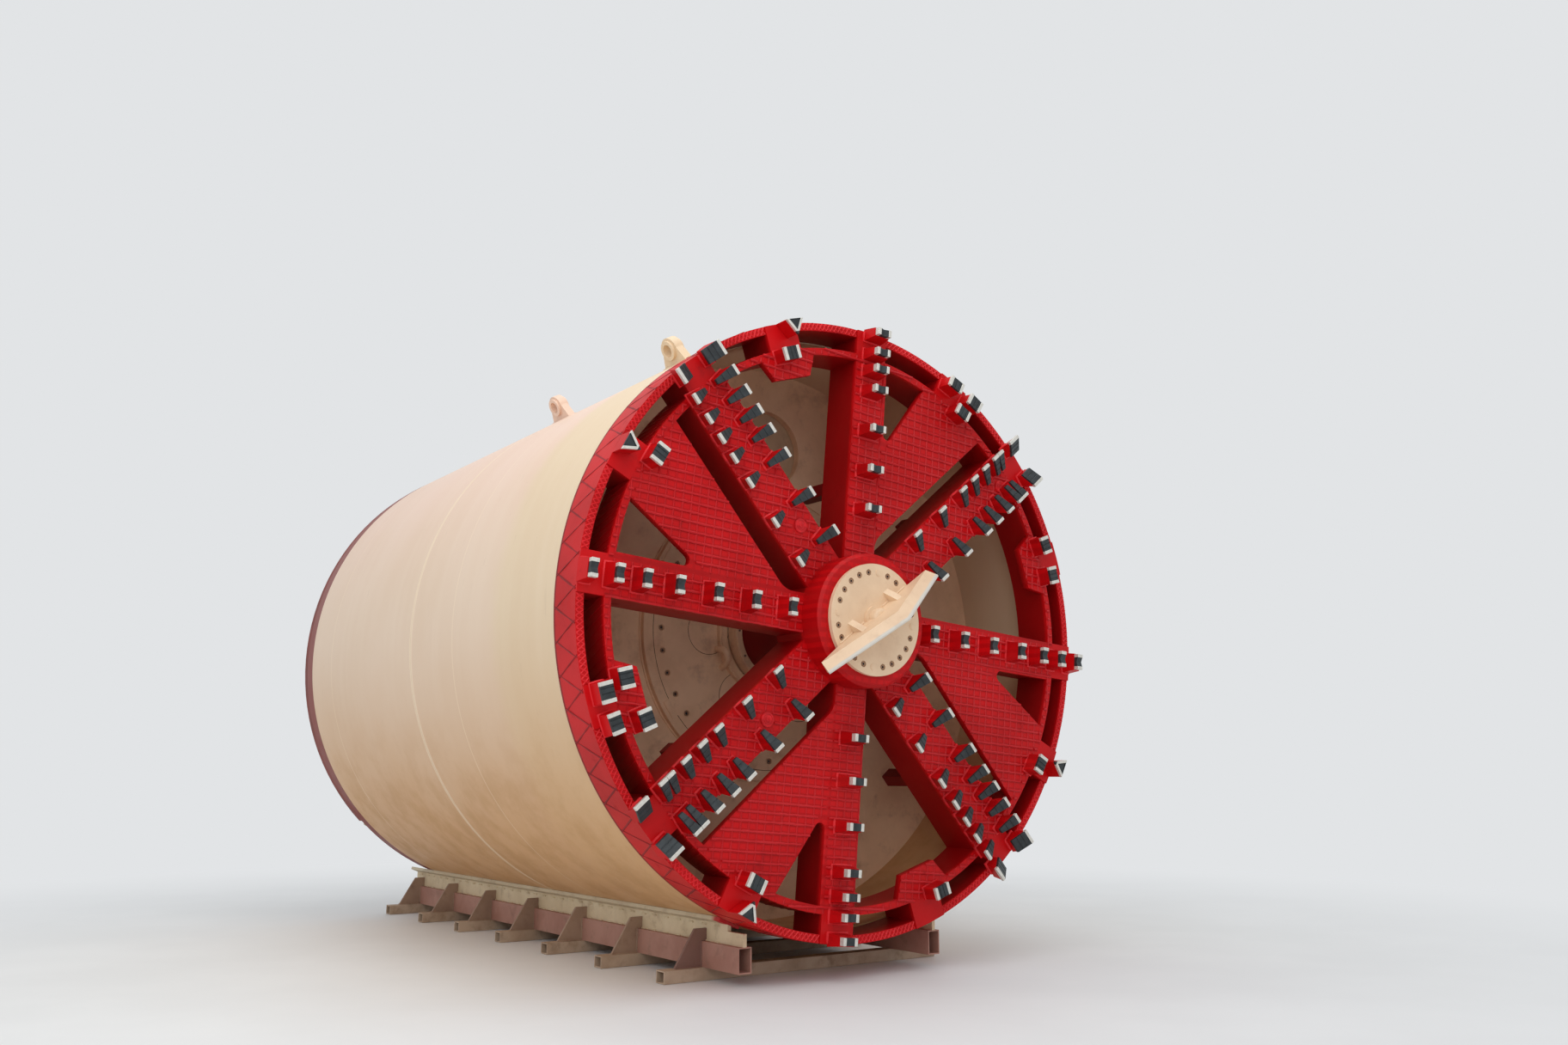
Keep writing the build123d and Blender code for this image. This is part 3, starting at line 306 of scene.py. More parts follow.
# %% A socket that can do sums
class Socket:
    """An output socket in a material's node tree."""

    def __init__(self, tree, socket):
        self.tree = tree
        self.socket = socket

    def node(self, kind, options=None, output=0, **inputs):
        """A new node of this kind; its inputs are given by name or by place, as in in0."""
        made = self.tree.nodes.new(kind)
        for option, value in (options or {}).items():
            setattr(made, option, value)
        for name, value in inputs.items():
            place = int(name[2:]) if name[:2] == "in" and name[2:].isdigit() else name.replace("_", " ")
            if isinstance(value, Socket):
                self.tree.links.new(value.socket, made.inputs[place])
            else:
                made.inputs[place].default_value = value
        return Socket(self.tree, made.outputs[output])

    def sum(self, operation, first, second=0.0):
        """A math node over one or two values."""
        return self.node("ShaderNodeMath", {"operation": operation}, in0=first, in1=second)

    def __add__(self, other):
        return self.sum("ADD", self, other)

    def __radd__(self, other):
        return self.sum("ADD", other, self)

    def __sub__(self, other):
        return self.sum("SUBTRACT", self, other)

    def __mul__(self, other):
        return self.sum("MULTIPLY", self, other)

    def __rmul__(self, other):
        return self.sum("MULTIPLY", other, self)

    def size(self):
        """The value without its sign."""
        return self.sum("ABSOLUTE", self)

    def root(self):
        """The value's square root."""
        return self.sum("SQRT", self)

    def step(self, low, high):
        """0 below low, 1 above high, smooth between; low may be the larger."""
        edges = (high, low, 1.0, 0.0) if low > high else (low, high, 0.0, 1.0)
        return self.node("ShaderNodeMapRange", {"interpolation_type": "SMOOTHSTEP"}, in0=self,
                         in1=edges[0], in2=edges[1], in3=edges[2], in4=edges[3])

    def near(self, place, width):
        """1 at a place, 0 beyond a width on both sides."""
        return (self - place).size().step(width, width * 0.5)


def linear(*levels):
    """A screen colour from 0 to 255, as the linear colour that shaders use."""
    parts = [level / 255 for level in levels]
    return tuple(p / 12.92 if p <= 0.04045 else ((p + 0.055) / 1.055) ** 2.4 for p in parts) + (1.0,)


# %% [markdown]
# A finish starts with the place on the object, in metres. From it come noise at
# any size, streaks that run down, and heights. The last step is one Principled
# shader, whose colour and roughness follow those masks.

# %% A finish to fill in
class Finish:
    """A new material, with the tools that paint it."""

    def __init__(self, name):
        self.material = bpy.data.materials.new(name)
        self.material.use_nodes = True
        self.tree = self.material.node_tree
        self.tree.nodes.clear()
        self.place = Socket(self.tree, None).node("ShaderNodeTexCoord", output=3)
        self.x, self.y, self.z = (
            self.place.node("ShaderNodeSeparateXYZ", output=i, in0=self.place) for i in range(3))
        self.station = self.y - FACE_Y
        self.up = self.z - AXIS_Z

    def noise(self, size, detail=4.0, rough=0.55, stretch=(1, 1, 1), offset=(0, 0, 0)):
        """Soft noise whose blots are about this many metres wide."""
        scale = tuple(s / size for s in stretch)
        there = self.place.node("ShaderNodeMapping", in0=self.place, in1=offset, in3=scale)
        return self.place.node("ShaderNodeTexNoise", in0=there, Scale=1.0, Detail=detail, Roughness=rough)

    def mix(self, mask, first, second):
        """A colour between two colours."""
        return self.place.node("ShaderNodeMix", {"data_type": "RGBA"}, output=2,
                               in0=mask, in6=first, in7=second)

    def radius(self):
        """Distance from the machine's axis."""
        return (self.x * self.x + self.up * self.up).root()

    def done(self, color, rough, metal=0.0, bump=None, bump_height=0.002, shine=0.5):
        """Close the finish with a Principled shader."""
        inputs = {"Base Color": color, "Roughness": rough, "Metallic": metal, "Specular IOR Level": shine}
        if bump is not None:
            inputs["Normal"] = self.place.node("ShaderNodeBump", Strength=1.0,
                                               Distance=bump_height, Height=bump)
        shader = self.place.node("ShaderNodeBsdfPrincipled", **inputs)
        return self.close(shader)

    def close(self, shader):
        """Send a shader to the material's surface."""
        output = self.tree.nodes.new("ShaderNodeOutputMaterial")
        self.tree.links.new(shader.socket, output.inputs["Surface"])
        return self.material


# %% [markdown]
# ### Red paint of the cutterhead
# The head is sprayed in one coat over raw welds. It is a strong red, a little
# darker and duller in some passes of the gun, with pale dust in patches and
# tiny chips that show grey primer. The beads get a lighter copy of the red, a
# painted highlight. Beside the beads, inside the windows, on the spokes' sides
# and along the rim's rear edge the red is darker: painted shade.

# %% Red paint
WIDE_PITCH = FINE_PITCH = 0.062


def shade_beside_beads(f):
    """Strips of the face close beside a bead, where its shade is painted."""
    along = cos(HEAD_TURN) * f.x + sin(HEAD_TURN) * f.up
    across = cos(HEAD_TURN) * f.up - sin(HEAD_TURN) * f.x
    wide = f.place.sum("PINGPONG", across, WIDE_PITCH / 2).step(0.022, 0.010)
    fine = f.place.sum("PINGPONG", along, FINE_PITCH / 2).step(0.014, 0.007)
    on_front = f.station.step(0.003, 0.001) * f.radius().step(RING_OUT, RING_OUT - 0.01)
    return f.place.sum("MAXIMUM", wide, fine * 0.7) * on_front


def red_paint(name, strong, dull, gloss=0.42):
    """Sprayed red: passes, grime, dust, painted shade beside beads, inside and behind the rim, chips."""
    f = Finish(name)
    passes = f.noise(0.5, 3).step(0.35, 0.7)
    color = f.mix(passes, linear(*strong), linear(*dull))
    grime = f.noise(0.16, 6, 0.65, offset=(3, 1, 7)).step(0.58, 0.74)
    color = f.mix(grime * 0.35, color, linear(120, 16, 20))
    dust = f.noise(0.35, 6, 0.6, offset=(8, 2, 1)).step(0.55, 0.8)
    color = f.mix(dust * 0.1, color, linear(214, 84, 78))
    # painted shade: darker red in the strips beside the beads
    color = f.mix(shade_beside_beads(f) * 0.3, color, linear(118, 4, 8))
    # painted shade: a dark band along the rim's rear edge
    outside = f.radius().step(RIM_R - 0.01, RIM_R - 0.006)
    rim_back_shade = f.station.step(RIM_BACK - 0.024, RIM_BACK - 0.018) * outside
    color = f.mix(rim_back_shade * 0.8, color, linear(116, 4, 10))
    # painted shade: darker red behind the face inside the rim, on the spokes' sides, the windows and the
    # chamber
    inside = f.station.step(0.004, 0.04) * f.radius().step(RIM_R - 0.004, RIM_R - 0.02)
    color = f.mix(inside * 0.65, color, linear(118, 3, 6))
    chips = f.noise(0.012, 2, offset=(5, 5, 5)).step(0.76, 0.79)
    color = f.mix(chips * 0.7, color, linear(120, 90, 84))
    rough = gloss + 0.2 * dust + 0.1 * grime
    grain = f.noise(0.01, 3) + 0.6 * f.noise(0.05, 2)
    return f.done(color, rough, bump=grain, bump_height=0.0006, shine=0.17)


head_red = red_paint("head_red", (203, 12, 18), (182, 8, 12))
# Lighter copies of the red for beads, welds and caps: painted highlight.
highlit_bead_red = red_paint("highlit_bead_red", (224, 44, 50), (208, 30, 36), 0.32)
highlit_seam_red = red_paint("highlit_seam_red", (214, 30, 37), (198, 20, 27), 0.32)
# A darker copy of the red, painted shade: on the rim's zigzag beads, the shaft and the mixing bars.
shaded_red = red_paint("shaded_red_paint", (150, 14, 20), (124, 10, 15), 0.45)

# %% [markdown]
# ### Cream paint of the shields
# The long shells are sprayed cream. Behind a soft line across the front shield
# the coat leans to pink, where another batch was used; higher up it leans
# further to pink, a painted sheen. The joint between the shields has a pale
# band on both sides, two ground seams show as thin lines, and the last hand's
# breadth before the tail is maroon. Low down the coat turns golden brown, a
# painted shade with warm light bounced from the floor, with patches of dust
# over it, and faint water marks run down.

# %% Cream paint
SEAMS = ((1.95, 0.009, 0.4), (JOINT_S, 0.032, 0.6), (4.74, 0.009, 0.4))
MAROON_S = 5.30


def cream_paint():
    """Sprayed cream: two batches, a painted sheen up top, painted shade low down, clouds, dust, seams,
    runs, maroon tail.
    """
    f = Finish("shield_cream")
    back = (f.station + 0.3 * f.noise(0.9, 3, offset=(2, 0, 0))).step(1.2, 1.5)
    color = f.mix(back, linear(228, 204, 170), linear(230, 204, 178))
    # painted sheen: the pink zone turns pinker higher up
    color = f.mix(back * f.up.step(0.2, 1.6) * 0.7, color, linear(236, 202, 184))
    clouds = f.noise(1.1, 4, 0.5, offset=(4, 4, 0)).step(0.3, 0.75)
    color = f.mix(clouds * 0.25, color, linear(216, 186, 154))
    bands = f.noise(0.16, 2, 0.5, stretch=(0.05, 1, 0.05), offset=(0, 9, 0)).step(0.4, 0.7)
    color = f.mix(bands * 0.1, color, linear(242, 224, 202))
    # painted shade and ground bounce: golden brown towards the bottom
    low = f.up.step(0.2, -1.7)
    color = f.mix(low * 0.85, color, linear(212, 160, 100))
    dust = f.noise(0.34, 6, 0.62, offset=(1, 6, 2)).step(0.38, 0.7)
    color = f.mix(f.up.step(-0.4, -1.8) * dust * 0.5, color, linear(178, 132, 84))
    for seam, width, strength in SEAMS:
        color = f.mix(f.station.near(seam, width) * strength, color, linear(248, 226, 196))
    runs = f.noise(0.05, 4, 0.6, stretch=(1, 1, 0.07), offset=(0, 3, 0)).step(0.62, 0.8)
    color = f.mix(runs * 0.16, color, linear(180, 150, 120))
    marks = f.noise(0.03, 5, 0.75, stretch=(1, 0.4, 1), offset=(7, 0, 0)).step(0.68, 0.74)
    color = f.mix(marks * 0.3, color, linear(160, 126, 98))
    tail = (f.station + 0.006 * f.noise(0.05, 3)).step(MAROON_S, MAROON_S + 0.01)
    color = f.mix(tail, color, linear(132, 52, 40))
    rough = 0.42 + 0.2 * low * dust + 0.1 * clouds
    ripple = f.noise(0.25, 2, 0.4) + 0.05 * f.noise(0.01, 2)
    return f.done(color, rough, bump=ripple, bump_height=0.0022)


shield_cream = cream_paint()

# %% [markdown]
# ### Plain paints, steel and rubber
# The other finishes follow one pattern: a colour, a second colour in soft
# patches, dirt at one grain, and a bump of orange peel or rolled scale. A rule
# may repaint one zone of a solid, such as the rear lip of the tail ring.

# %% One recipe for plain coats
CHANNEL = 46
KNIFE_TURN = 42


def coat(name, color, patch, dirt, rough=0.5, dirty=0.4, metal=0.0, size=0.3, zone=None):
    """One colour with soft patches and dirt; a zone is a rule and its own colour."""
    f = Finish(name)
    blots = f.noise(size, 5, 0.6).step(0.35, 0.7)
    mixed = f.mix(blots, linear(*color), linear(*patch))
    if zone is not None:
        rule, other = zone
        mixed = f.mix(rule(f), mixed, linear(*other))
    soil = f.noise(size * 0.45, 7, 0.7, offset=(3, 8, 5)).step(0.5, 0.72)
    mixed = f.mix(soil * dirty, mixed, linear(*dirt))
    specks = f.noise(0.008, 2, offset=(1, 2, 3)).step(0.72, 0.76)
    mixed = f.mix(specks * 0.35, mixed, linear(*dirt))
    return f.done(mixed, rough + 0.18 * soil, metal, bump=f.noise(0.008, 3), bump_height=0.0005)


def rear_lip(f):
    """The lip behind the tail ring's open channel, below."""
    below = (-1 * f.up - tan(radians(CHANNEL)) * f.x.size()).step(0.0, 0.01)
    return below * f.station.step(5.524, 5.53)


def seat_nose(f):
    """The red front end of the seat strips."""
    return (f.station + 0.05 * f.noise(0.08, 3)).step(0.46, 0.40)


def front_gusset_shade(f):
    """The gussets nearest the head, darker: painted shade."""
    return f.station.step(0.8, 0.75)


def knife_ridge(f):
    """The worn front edge of the knife, which stands at an angle across the hub."""
    turn = HEAD_TURN + radians(KNIFE_TURN)
    along = (cos(turn) * f.x + sin(turn) * f.up).size()
    behind = f.station + 0.54 - 0.4068 * along
    return (behind + 0.008 * f.noise(0.06, 3)).step(0.02, 0.012) * f.station.step(-0.2, -0.24)


inside_cream = coat("inside_cream", (212, 184, 150), (200, 170, 138), (140, 108, 80))
chamber_cream = coat("chamber_cream", (248, 208, 170), (230, 188, 150), (156, 110, 80), size=0.5)
hub_cream = coat("knife_beige", (234, 204, 170), (224, 192, 158), (176, 136, 104), 0.42, 0.2,
                 zone=(knife_ridge, (206, 200, 190)))
tool_black = coat("tool_black", (42, 46, 48), (54, 60, 63), (80, 76, 72), 0.46, 0.25, 0.3, size=0.05)
carbide = coat("carbide", (222, 219, 210), (208, 204, 195), (158, 148, 136), 0.38, 0.25, 0.3, size=0.03)
drive_grey = coat("drive_grey", (118, 126, 130), (104, 112, 116), (72, 66, 58), 0.45, 0.4)
worn_steel = coat("worn_steel", (150, 146, 140), (112, 104, 96), (92, 62, 44), 0.42, 0.5, 0.8, size=0.12)
deck_grey = coat("deck_grey", (126, 126, 122), (108, 106, 102), (84, 72, 58), 0.62, 0.5)
cabinet_grey = coat("cabinet_grey", (196, 198, 194), (188, 190, 186), (140, 134, 124), 0.4, 0.15)
tail_maroon = coat("tail_maroon", (132, 52, 40), (112, 42, 32), (134, 84, 62), 0.6, 0.35,
                   zone=(rear_lip, (196, 150, 112)))
seat_cream = coat("seat_cream", (208, 194, 164), (196, 180, 150), (140, 116, 88), 0.6, 0.4,
                  zone=(seat_nose, (190, 26, 32)))
web_beige = coat("cradle_beige", (218, 198, 164), (204, 182, 146), (140, 112, 86), 0.62, 0.4)
gusset_beige = coat("gusset_beige", (166, 138, 116), (146, 118, 98), (108, 82, 64), 0.64, 0.5,
                    zone=(front_gusset_shade, (128, 94, 82)))
cradle_primer = coat("cradle_primer", (174, 128, 112), (158, 110, 94), (122, 100, 84), 0.66, 0.5)
cradle_brown = coat("cradle_brown", (186, 162, 138), (162, 136, 112), (110, 88, 68), 0.66, 0.5)
bolt_tan = coat("bolt_tan", (168, 130, 102), (150, 112, 86), (96, 68, 50), 0.5, 0.4, size=0.03)
# Near black for the cap screws' sunk sockets: painted shade.
socket_shade = coat("socket_shade", (30, 30, 31), (42, 42, 42), (84, 78, 70), 0.62, 0.35, size=0.08)
bolt_steel = coat("bolt_steel", (74, 72, 70), (98, 94, 88), (88, 62, 46), 0.45, 0.4, 0.7, size=0.02)
# Dark brown for the scribed grooves on the flange: painted shade.
groove_shade_brown = coat("groove_shade_brown", (112, 72, 54), (98, 62, 46), (80, 52, 40), 0.7, 0.3)


def chrome():
    """Bright rods, with faint wipe marks round them."""
    f = Finish("rod_chrome")
    wipe = f.noise(0.03, 3, stretch=(1, 0.1, 1)).step(0.4, 0.7)
    color = f.mix(wipe, linear(206, 208, 210), linear(188, 190, 192))
    return f.done(color, 0.12 + 0.1 * wipe, 1.0)


rod_chrome = chrome()

# %% [markdown]
# Each solid gets the finish that its slot names. A few get one of their own,
# such as the bulkhead, whose paint is warmer than that inside the shields.

# %% Paint the solids
finishes = {
    "head_red": head_red, "knife_beige": hub_cream, "tool_black": tool_black, "carbide": carbide,
    "shield_cream": shield_cream, "inside_cream": inside_cream, "drive_grey": drive_grey,
    "worn_steel": worn_steel, "rod_chrome": rod_chrome, "deck_grey": deck_grey,
    "cabinet_grey": cabinet_grey, "tail_maroon": tail_maroon, "cradle_beige": web_beige,
    "cradle_primer": cradle_primer, "cradle_brown": cradle_brown,
}
for part in frame["record"]["subparts"]:
    solid = frame["nodes"][part["node"]]
    solid.data.materials.clear()
    solid.data.materials.append(finishes[part["material_slot"]])
own_finish = {
    # The shaft and mixing bars take the darker red: painted shade inside the chamber.
    "main_shaft": shaded_red, "mixing_bars": shaded_red, "bulkhead": chamber_cream,
    "drive_flange": chamber_cream, "cradle_seats": seat_cream, "cradle_gussets": gusset_beige,
}
for name, finish in own_finish.items():
    frame["nodes"][name].data.materials[0] = finish
print("painted", len(frame["nodes"]), "solids")


def finish_piece(piece, finish, body, smooth=None):
    """Give a new piece its finish and its body."""
    if finish is not None:
        piece.data.materials.clear()
        piece.data.materials.append(finish)
    if smooth is not None:
        only(piece)
        bpy.ops.object.shade_smooth_by_angle(angle=radians(smooth))
    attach(piece, body)
    print(piece.name, len(piece.data.polygons), "faces")
    return piece


def set_out(name, model, places, finish, body, smooth=None):
    """Copy a model to its places, as one finished piece."""
    return finish_piece(copies(model, places, name), finish, body, smooth)


# %% [markdown]
# ## Weld beads
# Beads of hard metal are laid on the faces that rub on soil. Each bead is a
# line with round section, so it is drawn as a curve with a bevel and turned
# into a mesh. Points wander a little and change thickness, as by a hand torch.
# Rigid pipes are drawn the same way, smooth and even.

# %% Draw beads and pipes
chance = random.Random(7)


def drawn(name, runs, thick, sides, smooth):
    """One mesh of round lines along runs of points."""
    curve = bpy.data.curves.new(name, "CURVE")
    curve.dimensions = "3D"
    curve.bevel_depth = thick
    curve.bevel_resolution = sides
    curve.use_fill_caps = True
    for run in runs:
        line = curve.splines.new("NURBS" if smooth else "POLY")
        line.points.add(len(run) - 1)
        for point, place in zip(line.points, run):
            point.co = (*place, 1)
            point.radius = 1.0 if smooth else chance.uniform(0.78, 1.18)
        if smooth:
            line.order_u = 3
            line.use_endpoint_u = True
            line.resolution_u = 6
    piece = bpy.data.objects.new(name, curve)
    bpy.context.collection.objects.link(piece)
    only(piece)
    bpy.ops.object.convert(target="MESH")
    return bpy.context.object


def beads(name, runs, thick, finish, body, sides=1):
    """Uneven lines, as a torch lays them."""
    return finish_piece(drawn(name, runs, thick, sides, False), finish, body, smooth=50)


def pipes(name, runs, thick, finish, body, sides=3):
    """Even lines with rounded bends."""
    return finish_piece(drawn(name, runs, thick, sides, True), finish, body, smooth=50)


# %% [markdown]
# The face grid follows one direction over the whole head: strong beads run
# along the first spoke, and finer ones cross them. A point belongs to the grid
# if it lies on a spoke, a panel, a tab or the inner ring, so each bead is
# walked in small steps and kept only where that is so.

# %% Where the face carries beads
PLAIN_HALF = 0.13
TWIN_HALF = 0.17
SLOT_WIDE = 0.16
SLOT = (TWIN_HALF + SLOT_WIDE) * sqrt(2)
SLOT_CORNER = 0.15
WINDOW_START = RING_IN - 0.62
WINDOW_TOP = -PLAIN_HALF - 0.02
WINDOW_SLOPE = tan(radians(32.6))
TAB_IN = RING_IN - 0.15
TAB_HALF, TAB_SPREAD = 0.15, 0.55
MARGIN = 0.004
NOZZLE_CLEAR = 0.056
NOZZLES = ((135, 0.769, -0.045), (-135, 0.984, 0.045), (45, 1.794, -0.045))


def turned(u, v, angle):
    """A point of the face, seen from an arm at this angle."""
    a = radians(angle)
    return u * cos(a) + v * sin(a), v * cos(a) - u * sin(a)


def on_panel(u, v):
    """Panel beside the spoke on +U, less its window and its rounded inner corner."""
    if v > -PLAIN_HALF or u + v < SLOT or hypot(u, v) > RING_IN:
        return False
    corner_u = SLOT + PLAIN_HALF + SLOT_CORNER * tan(radians(22.5))
    if u < corner_u and hypot(u - corner_u + 0.12, v + PLAIN_HALF + SLOT_CORNER) < SLOT_CORNER * 0.2:
        return False
    return not (u > WINDOW_START and v < WINDOW_TOP and v > WINDOW_TOP - (u - WINDOW_START) * WINDOW_SLOPE)


def on_face(u, v):
    """Is this point of the head's face covered by beads?"""
    r = hypot(u, v)
    if r < HUB_R + MARGIN or r > RIM_R - MARGIN:
        return False
    if RING_IN + MARGIN < r < RING_OUT - MARGIN:
        return True
    if r > RING_OUT:
        return False
    for turn, far, aside in NOZZLES:
        a, b = turned(u, v, turn)
        if hypot(a - far, b - aside) < NOZZLE_CLEAR:
            return False
    for arm in range(4):
        a, b = turned(u, v, 90 * arm)
        if a > 0 and abs(b) < PLAIN_HALF - MARGIN:
            return True
        if on_panel(a, b):
            return True
        a, b = turned(u, v, 90 * arm + 45)
        if a > 0 and abs(b) < TWIN_HALF - MARGIN:
            return True
        a, b = turned(u, v, 90 * arm + 22.5)
        if TAB_IN < a and abs(b) < TAB_HALF + (a - TAB_IN) * TAB_SPREAD:
            return True
    return False


WALK = 0.007
STRIDE = 0.028
WANDER = 0.0016


def face_runs(pitch, along_u, lift):
    """Straight runs over the face, one every pitch, with a point every stride."""
    runs = []
    rows = int(RIM_R / pitch)
    for row in range(-rows, rows + 1):
        across = row * pitch + chance.uniform(-0.05, 0.05) * pitch
        run, last = [], None
        for i in range(int(2 * RIM_R / WALK) + 1):
            along = -RIM_R + i * WALK
            u, v = (along, across) if along_u else (across, along)
            if on_face(u, v):
                if last is None or along - last >= STRIDE:
                    run.append((along, across + chance.uniform(-WANDER, WANDER)))
                    last = along
            elif run:
                if len(run) > 1:
                    runs.append(run)
                run, last = [], None
        if len(run) > 1:
            runs.append(run)
    head = on_head(0, lift=lift)
    if along_u:
        return [[head @ Vector((a, b, 0)) for a, b in run] for run in runs]
    return [[head @ Vector((b, a, 0)) for a, b in run] for run in runs]


# %% [markdown]
# The strong beads are thicker than the fine ones and stand a little higher.

# %% Beads over the face
beads("hardfacing_wide", face_runs(WIDE_PITCH, along_u=True, lift=0.0026), 0.008,
      highlit_bead_red, "cutterhead")
beads("hardfacing_fine", face_runs(FINE_PITCH, along_u=False, lift=0.0008), 0.0056,
      highlit_seam_red, "cutterhead", sides=0)

# %% [markdown]
# The rim has its own patterns: one zigzag round the outside, a close cross
# hatch on its narrow front edge, and slanted beads on the inner ring.

# %% Beads round the rim and the inner ring
def round_run(start_angle, end_angle, start_s, end_s, radius, count):
    """Run on a cylinder between two corners, in the head's angles and stations."""
    run = []
    for i in range(count + 1):
        share = i / count
        turn = HEAD_TURN + radians(start_angle + (end_angle - start_angle) * share)
        s = start_s + (end_s - start_s) * share
        run.append(Vector((radius * cos(turn), FACE_Y + s, AXIS_Z + radius * sin(turn))))
    return run


ZIGZAGS = 64
ZIG_FRONT, ZIG_BACK = 0.018, 0.286
ZIG_LAP = 0.25
zig = 360 / ZIGZAGS / 2
zigzag = []
for i in range(2 * ZIGZAGS):
    ends = (ZIG_FRONT, ZIG_BACK) if i % 2 else (ZIG_BACK, ZIG_FRONT)
    zigzag.append(round_run(i * zig - ZIG_LAP, (i + 1) * zig + ZIG_LAP, *ends, RIM_R - 0.0052, 7))
# The zigzag beads take the darker red: painted shade.
beads("rim_zigzag", zigzag, 0.0085, shaded_red, "cutterhead")

hatch = []
RIM_BLOCKS = 16
BLOCK_SPAN = 360 / RIM_BLOCKS
BLOCK_HALF = 3.75
HATCHES = 16
step = (BLOCK_SPAN - 2 * BLOCK_HALF) / HATCHES
for sector in range(RIM_BLOCKS):
    first = sector * BLOCK_SPAN + BLOCK_HALF
    for i in range(HATCHES):
        for inner, outer in ((0, 1), (1, 0)):
            run = []
            for share in (0.0, 0.35, 0.7, 1.0):
                radius = RIM_R - RIM_WALL + 0.004 + (RIM_WALL - 0.008) * share
                angle = first + step * (i + inner + (outer - inner) * share)
                run.append(on_head(angle, radius, lift=-0.0105).translation)
            hatch.append(run)
beads("rim_hatch", hatch, 0.005, highlit_bead_red, "cutterhead", sides=0)

SLANTS = 200
slants = []
for i in range(SLANTS):
    angle = i * 360 / SLANTS
    slants.append(round_run(angle, angle + 3.2, 0.012, 0.288, RING_OUT + 0.0004, 5))
beads("ring_slants", slants, 0.004, highlit_seam_red, "cutterhead", sides=0)

# %% [markdown]
# ## Cutting tools
# Four kinds of tool stand on the face. A ripper is a narrow tooth on a post,
# with a hard end on both sides. A scraper leans over the edge of a wide spoke
# and cuts with its outer edge. A ring tool is a scraper with two edges, and a
# V tool at the rim opens outward. Each is modelled once, in the solids' sizes,
# and copied to its places.

# %% Places of the tools
RIPPER_TRACKS = (
    (0.9787, 0.8720, 0.7561, 0.6159, 0.4451, 0.2713, 0.0976),
    (0.9817, 0.8933, 0.8171, 0.7256, 0.5488, 0.3720, 0.2012),
)
NARROW, DOUBLE, GAUGE = "narrow", "double", "gauge"
SCRAPER_TRACKS = (
    ((0.2012, NARROW), (0.3902, NARROW), (0.5549, NARROW), (0.6463, NARROW), (0.7378, NARROW),
     (0.8415, DOUBLE), (0.9756, GAUGE)),
    ((0.1037, NARROW), (0.2927, NARROW), (0.4817, NARROW), (0.5976, NARROW), (0.6890, NARROW),
     (0.7805, NARROW), (0.8720, NARROW), (0.9756, GAUGE)),
)
RING_TOOLS = (
    (155.0, 234, 45), (114.1, 225, 45), (69.0, 90, 40), (62.9, 100, 45), (64.6, 240, 40),
    (26.5, 205, 40), (19.4, 210, 40), (-25.2, 219, 40), (-65.5, 200, 40), (-112.9, 210, 45),
    (-159.4, 85, 45), (-161.0, 228, 45), (-154.0, 90, 40), (-152.5, 290, 45),
)
VEE_TOOLS = (157.0, 111.5, -22.7, -112.0)
VEE_HALF, VEE_LEN = 0.07, 0.11
VEE_EDGE = 0.019
VEE_TIP = -0.8 * VEE_LEN
POST_H = 0.11
TIP_H = 0.04
BLADE_H = 0.045
HOLDER_H = POST_H + TIP_H - 0.02 - BLADE_H
HARD, HARD_RISE = 0.024, 0.003
PAINT_GAP = 0.0003
SCRAPER_OUT = TWIN_HALF + 0.032
reach = RIM_R - HUB_R
rippers = [(90 * arm, HUB_R + share * reach)
           for arm in range(4) for share in RIPPER_TRACKS[arm % 2]]
scrapers = [(90 * arm + 45, HUB_R + share * reach, kind, side) for arm in range(4)
            for share, kind in SCRAPER_TRACKS[arm % 2] for side in (-1, 1)]
ring_tools = [(turn, RIM_R - deep / 1000, half / 1000) for turn, deep, half in RING_TOOLS]
print(len(rippers), "rippers,", len(scrapers), "scrapers,", len(ring_tools) + len(VEE_TOOLS), "rim tools")

# %% [markdown]
# The ripper's tip is a block with a valley across its middle, between two hard
# ends. The block is cut across, the middle row is pushed down, and the ends
# stand a little proud. The ends get the finish of ground carbide.

# %% Ripper tip
RIPPER_X, RIPPER_Y = 0.05, 0.115
hard_y = RIPPER_Y / 2 - HARD
VALLEY = 0.012
tip = box((RIPPER_X, RIPPER_Y, TIP_H - HARD_RISE), (0, 0, (TIP_H - HARD_RISE) / 2))
cut_rows([-hard_y, 0, hard_y])
pick(lambda c, n: n.z > 0.9 and abs(c.y) > hard_y)
raised(HARD_RISE)
object_mode()
for vertex in tip.data.vertices:
    if abs(vertex.co.y) < 0.001 and vertex.co.z > TIP_H / 2:
        vertex.co.z -= VALLEY
soften(0.0016)
two_tone(tip, tool_black, carbide, lambda c, n: abs(c.y) > hard_y + PAINT_GAP)
ripper_heads = copies(tip, [on_head(turn, r, lift=POST_H) for turn, r in rippers], "ripper_heads")

# %% [markdown]
# A scraper is a wedge. Its black face climbs from the spoke to a hard edge that
# hangs over the spoke's side, and it widens on the way; narrow steps run across
# it. A red holder of the same outline carries it. Both start as blocks that are
# cut into rows, and each row is then drawn to its width and height.

# %% Scraper wedges
TOOL_TOP = HOLDER_H + BLADE_H
PLATE = 0.02
FOOT_TOP, FACE_TOP = 0.068, TOOL_TOP - HARD_RISE
GROOVES = (0.34, 0.67)
GROOVE_HALF, GROOVE_DEEP = 0.003, 0.004


def ramp(y, begin, edge):
    """Share of the way from the narrow end to the hard edge, and the face's height there."""
    share = max(0.0, min(1.0, (y - begin) / (edge - begin)))
    return share, FOOT_TOP + (FACE_TOP - FOOT_TOP) * share


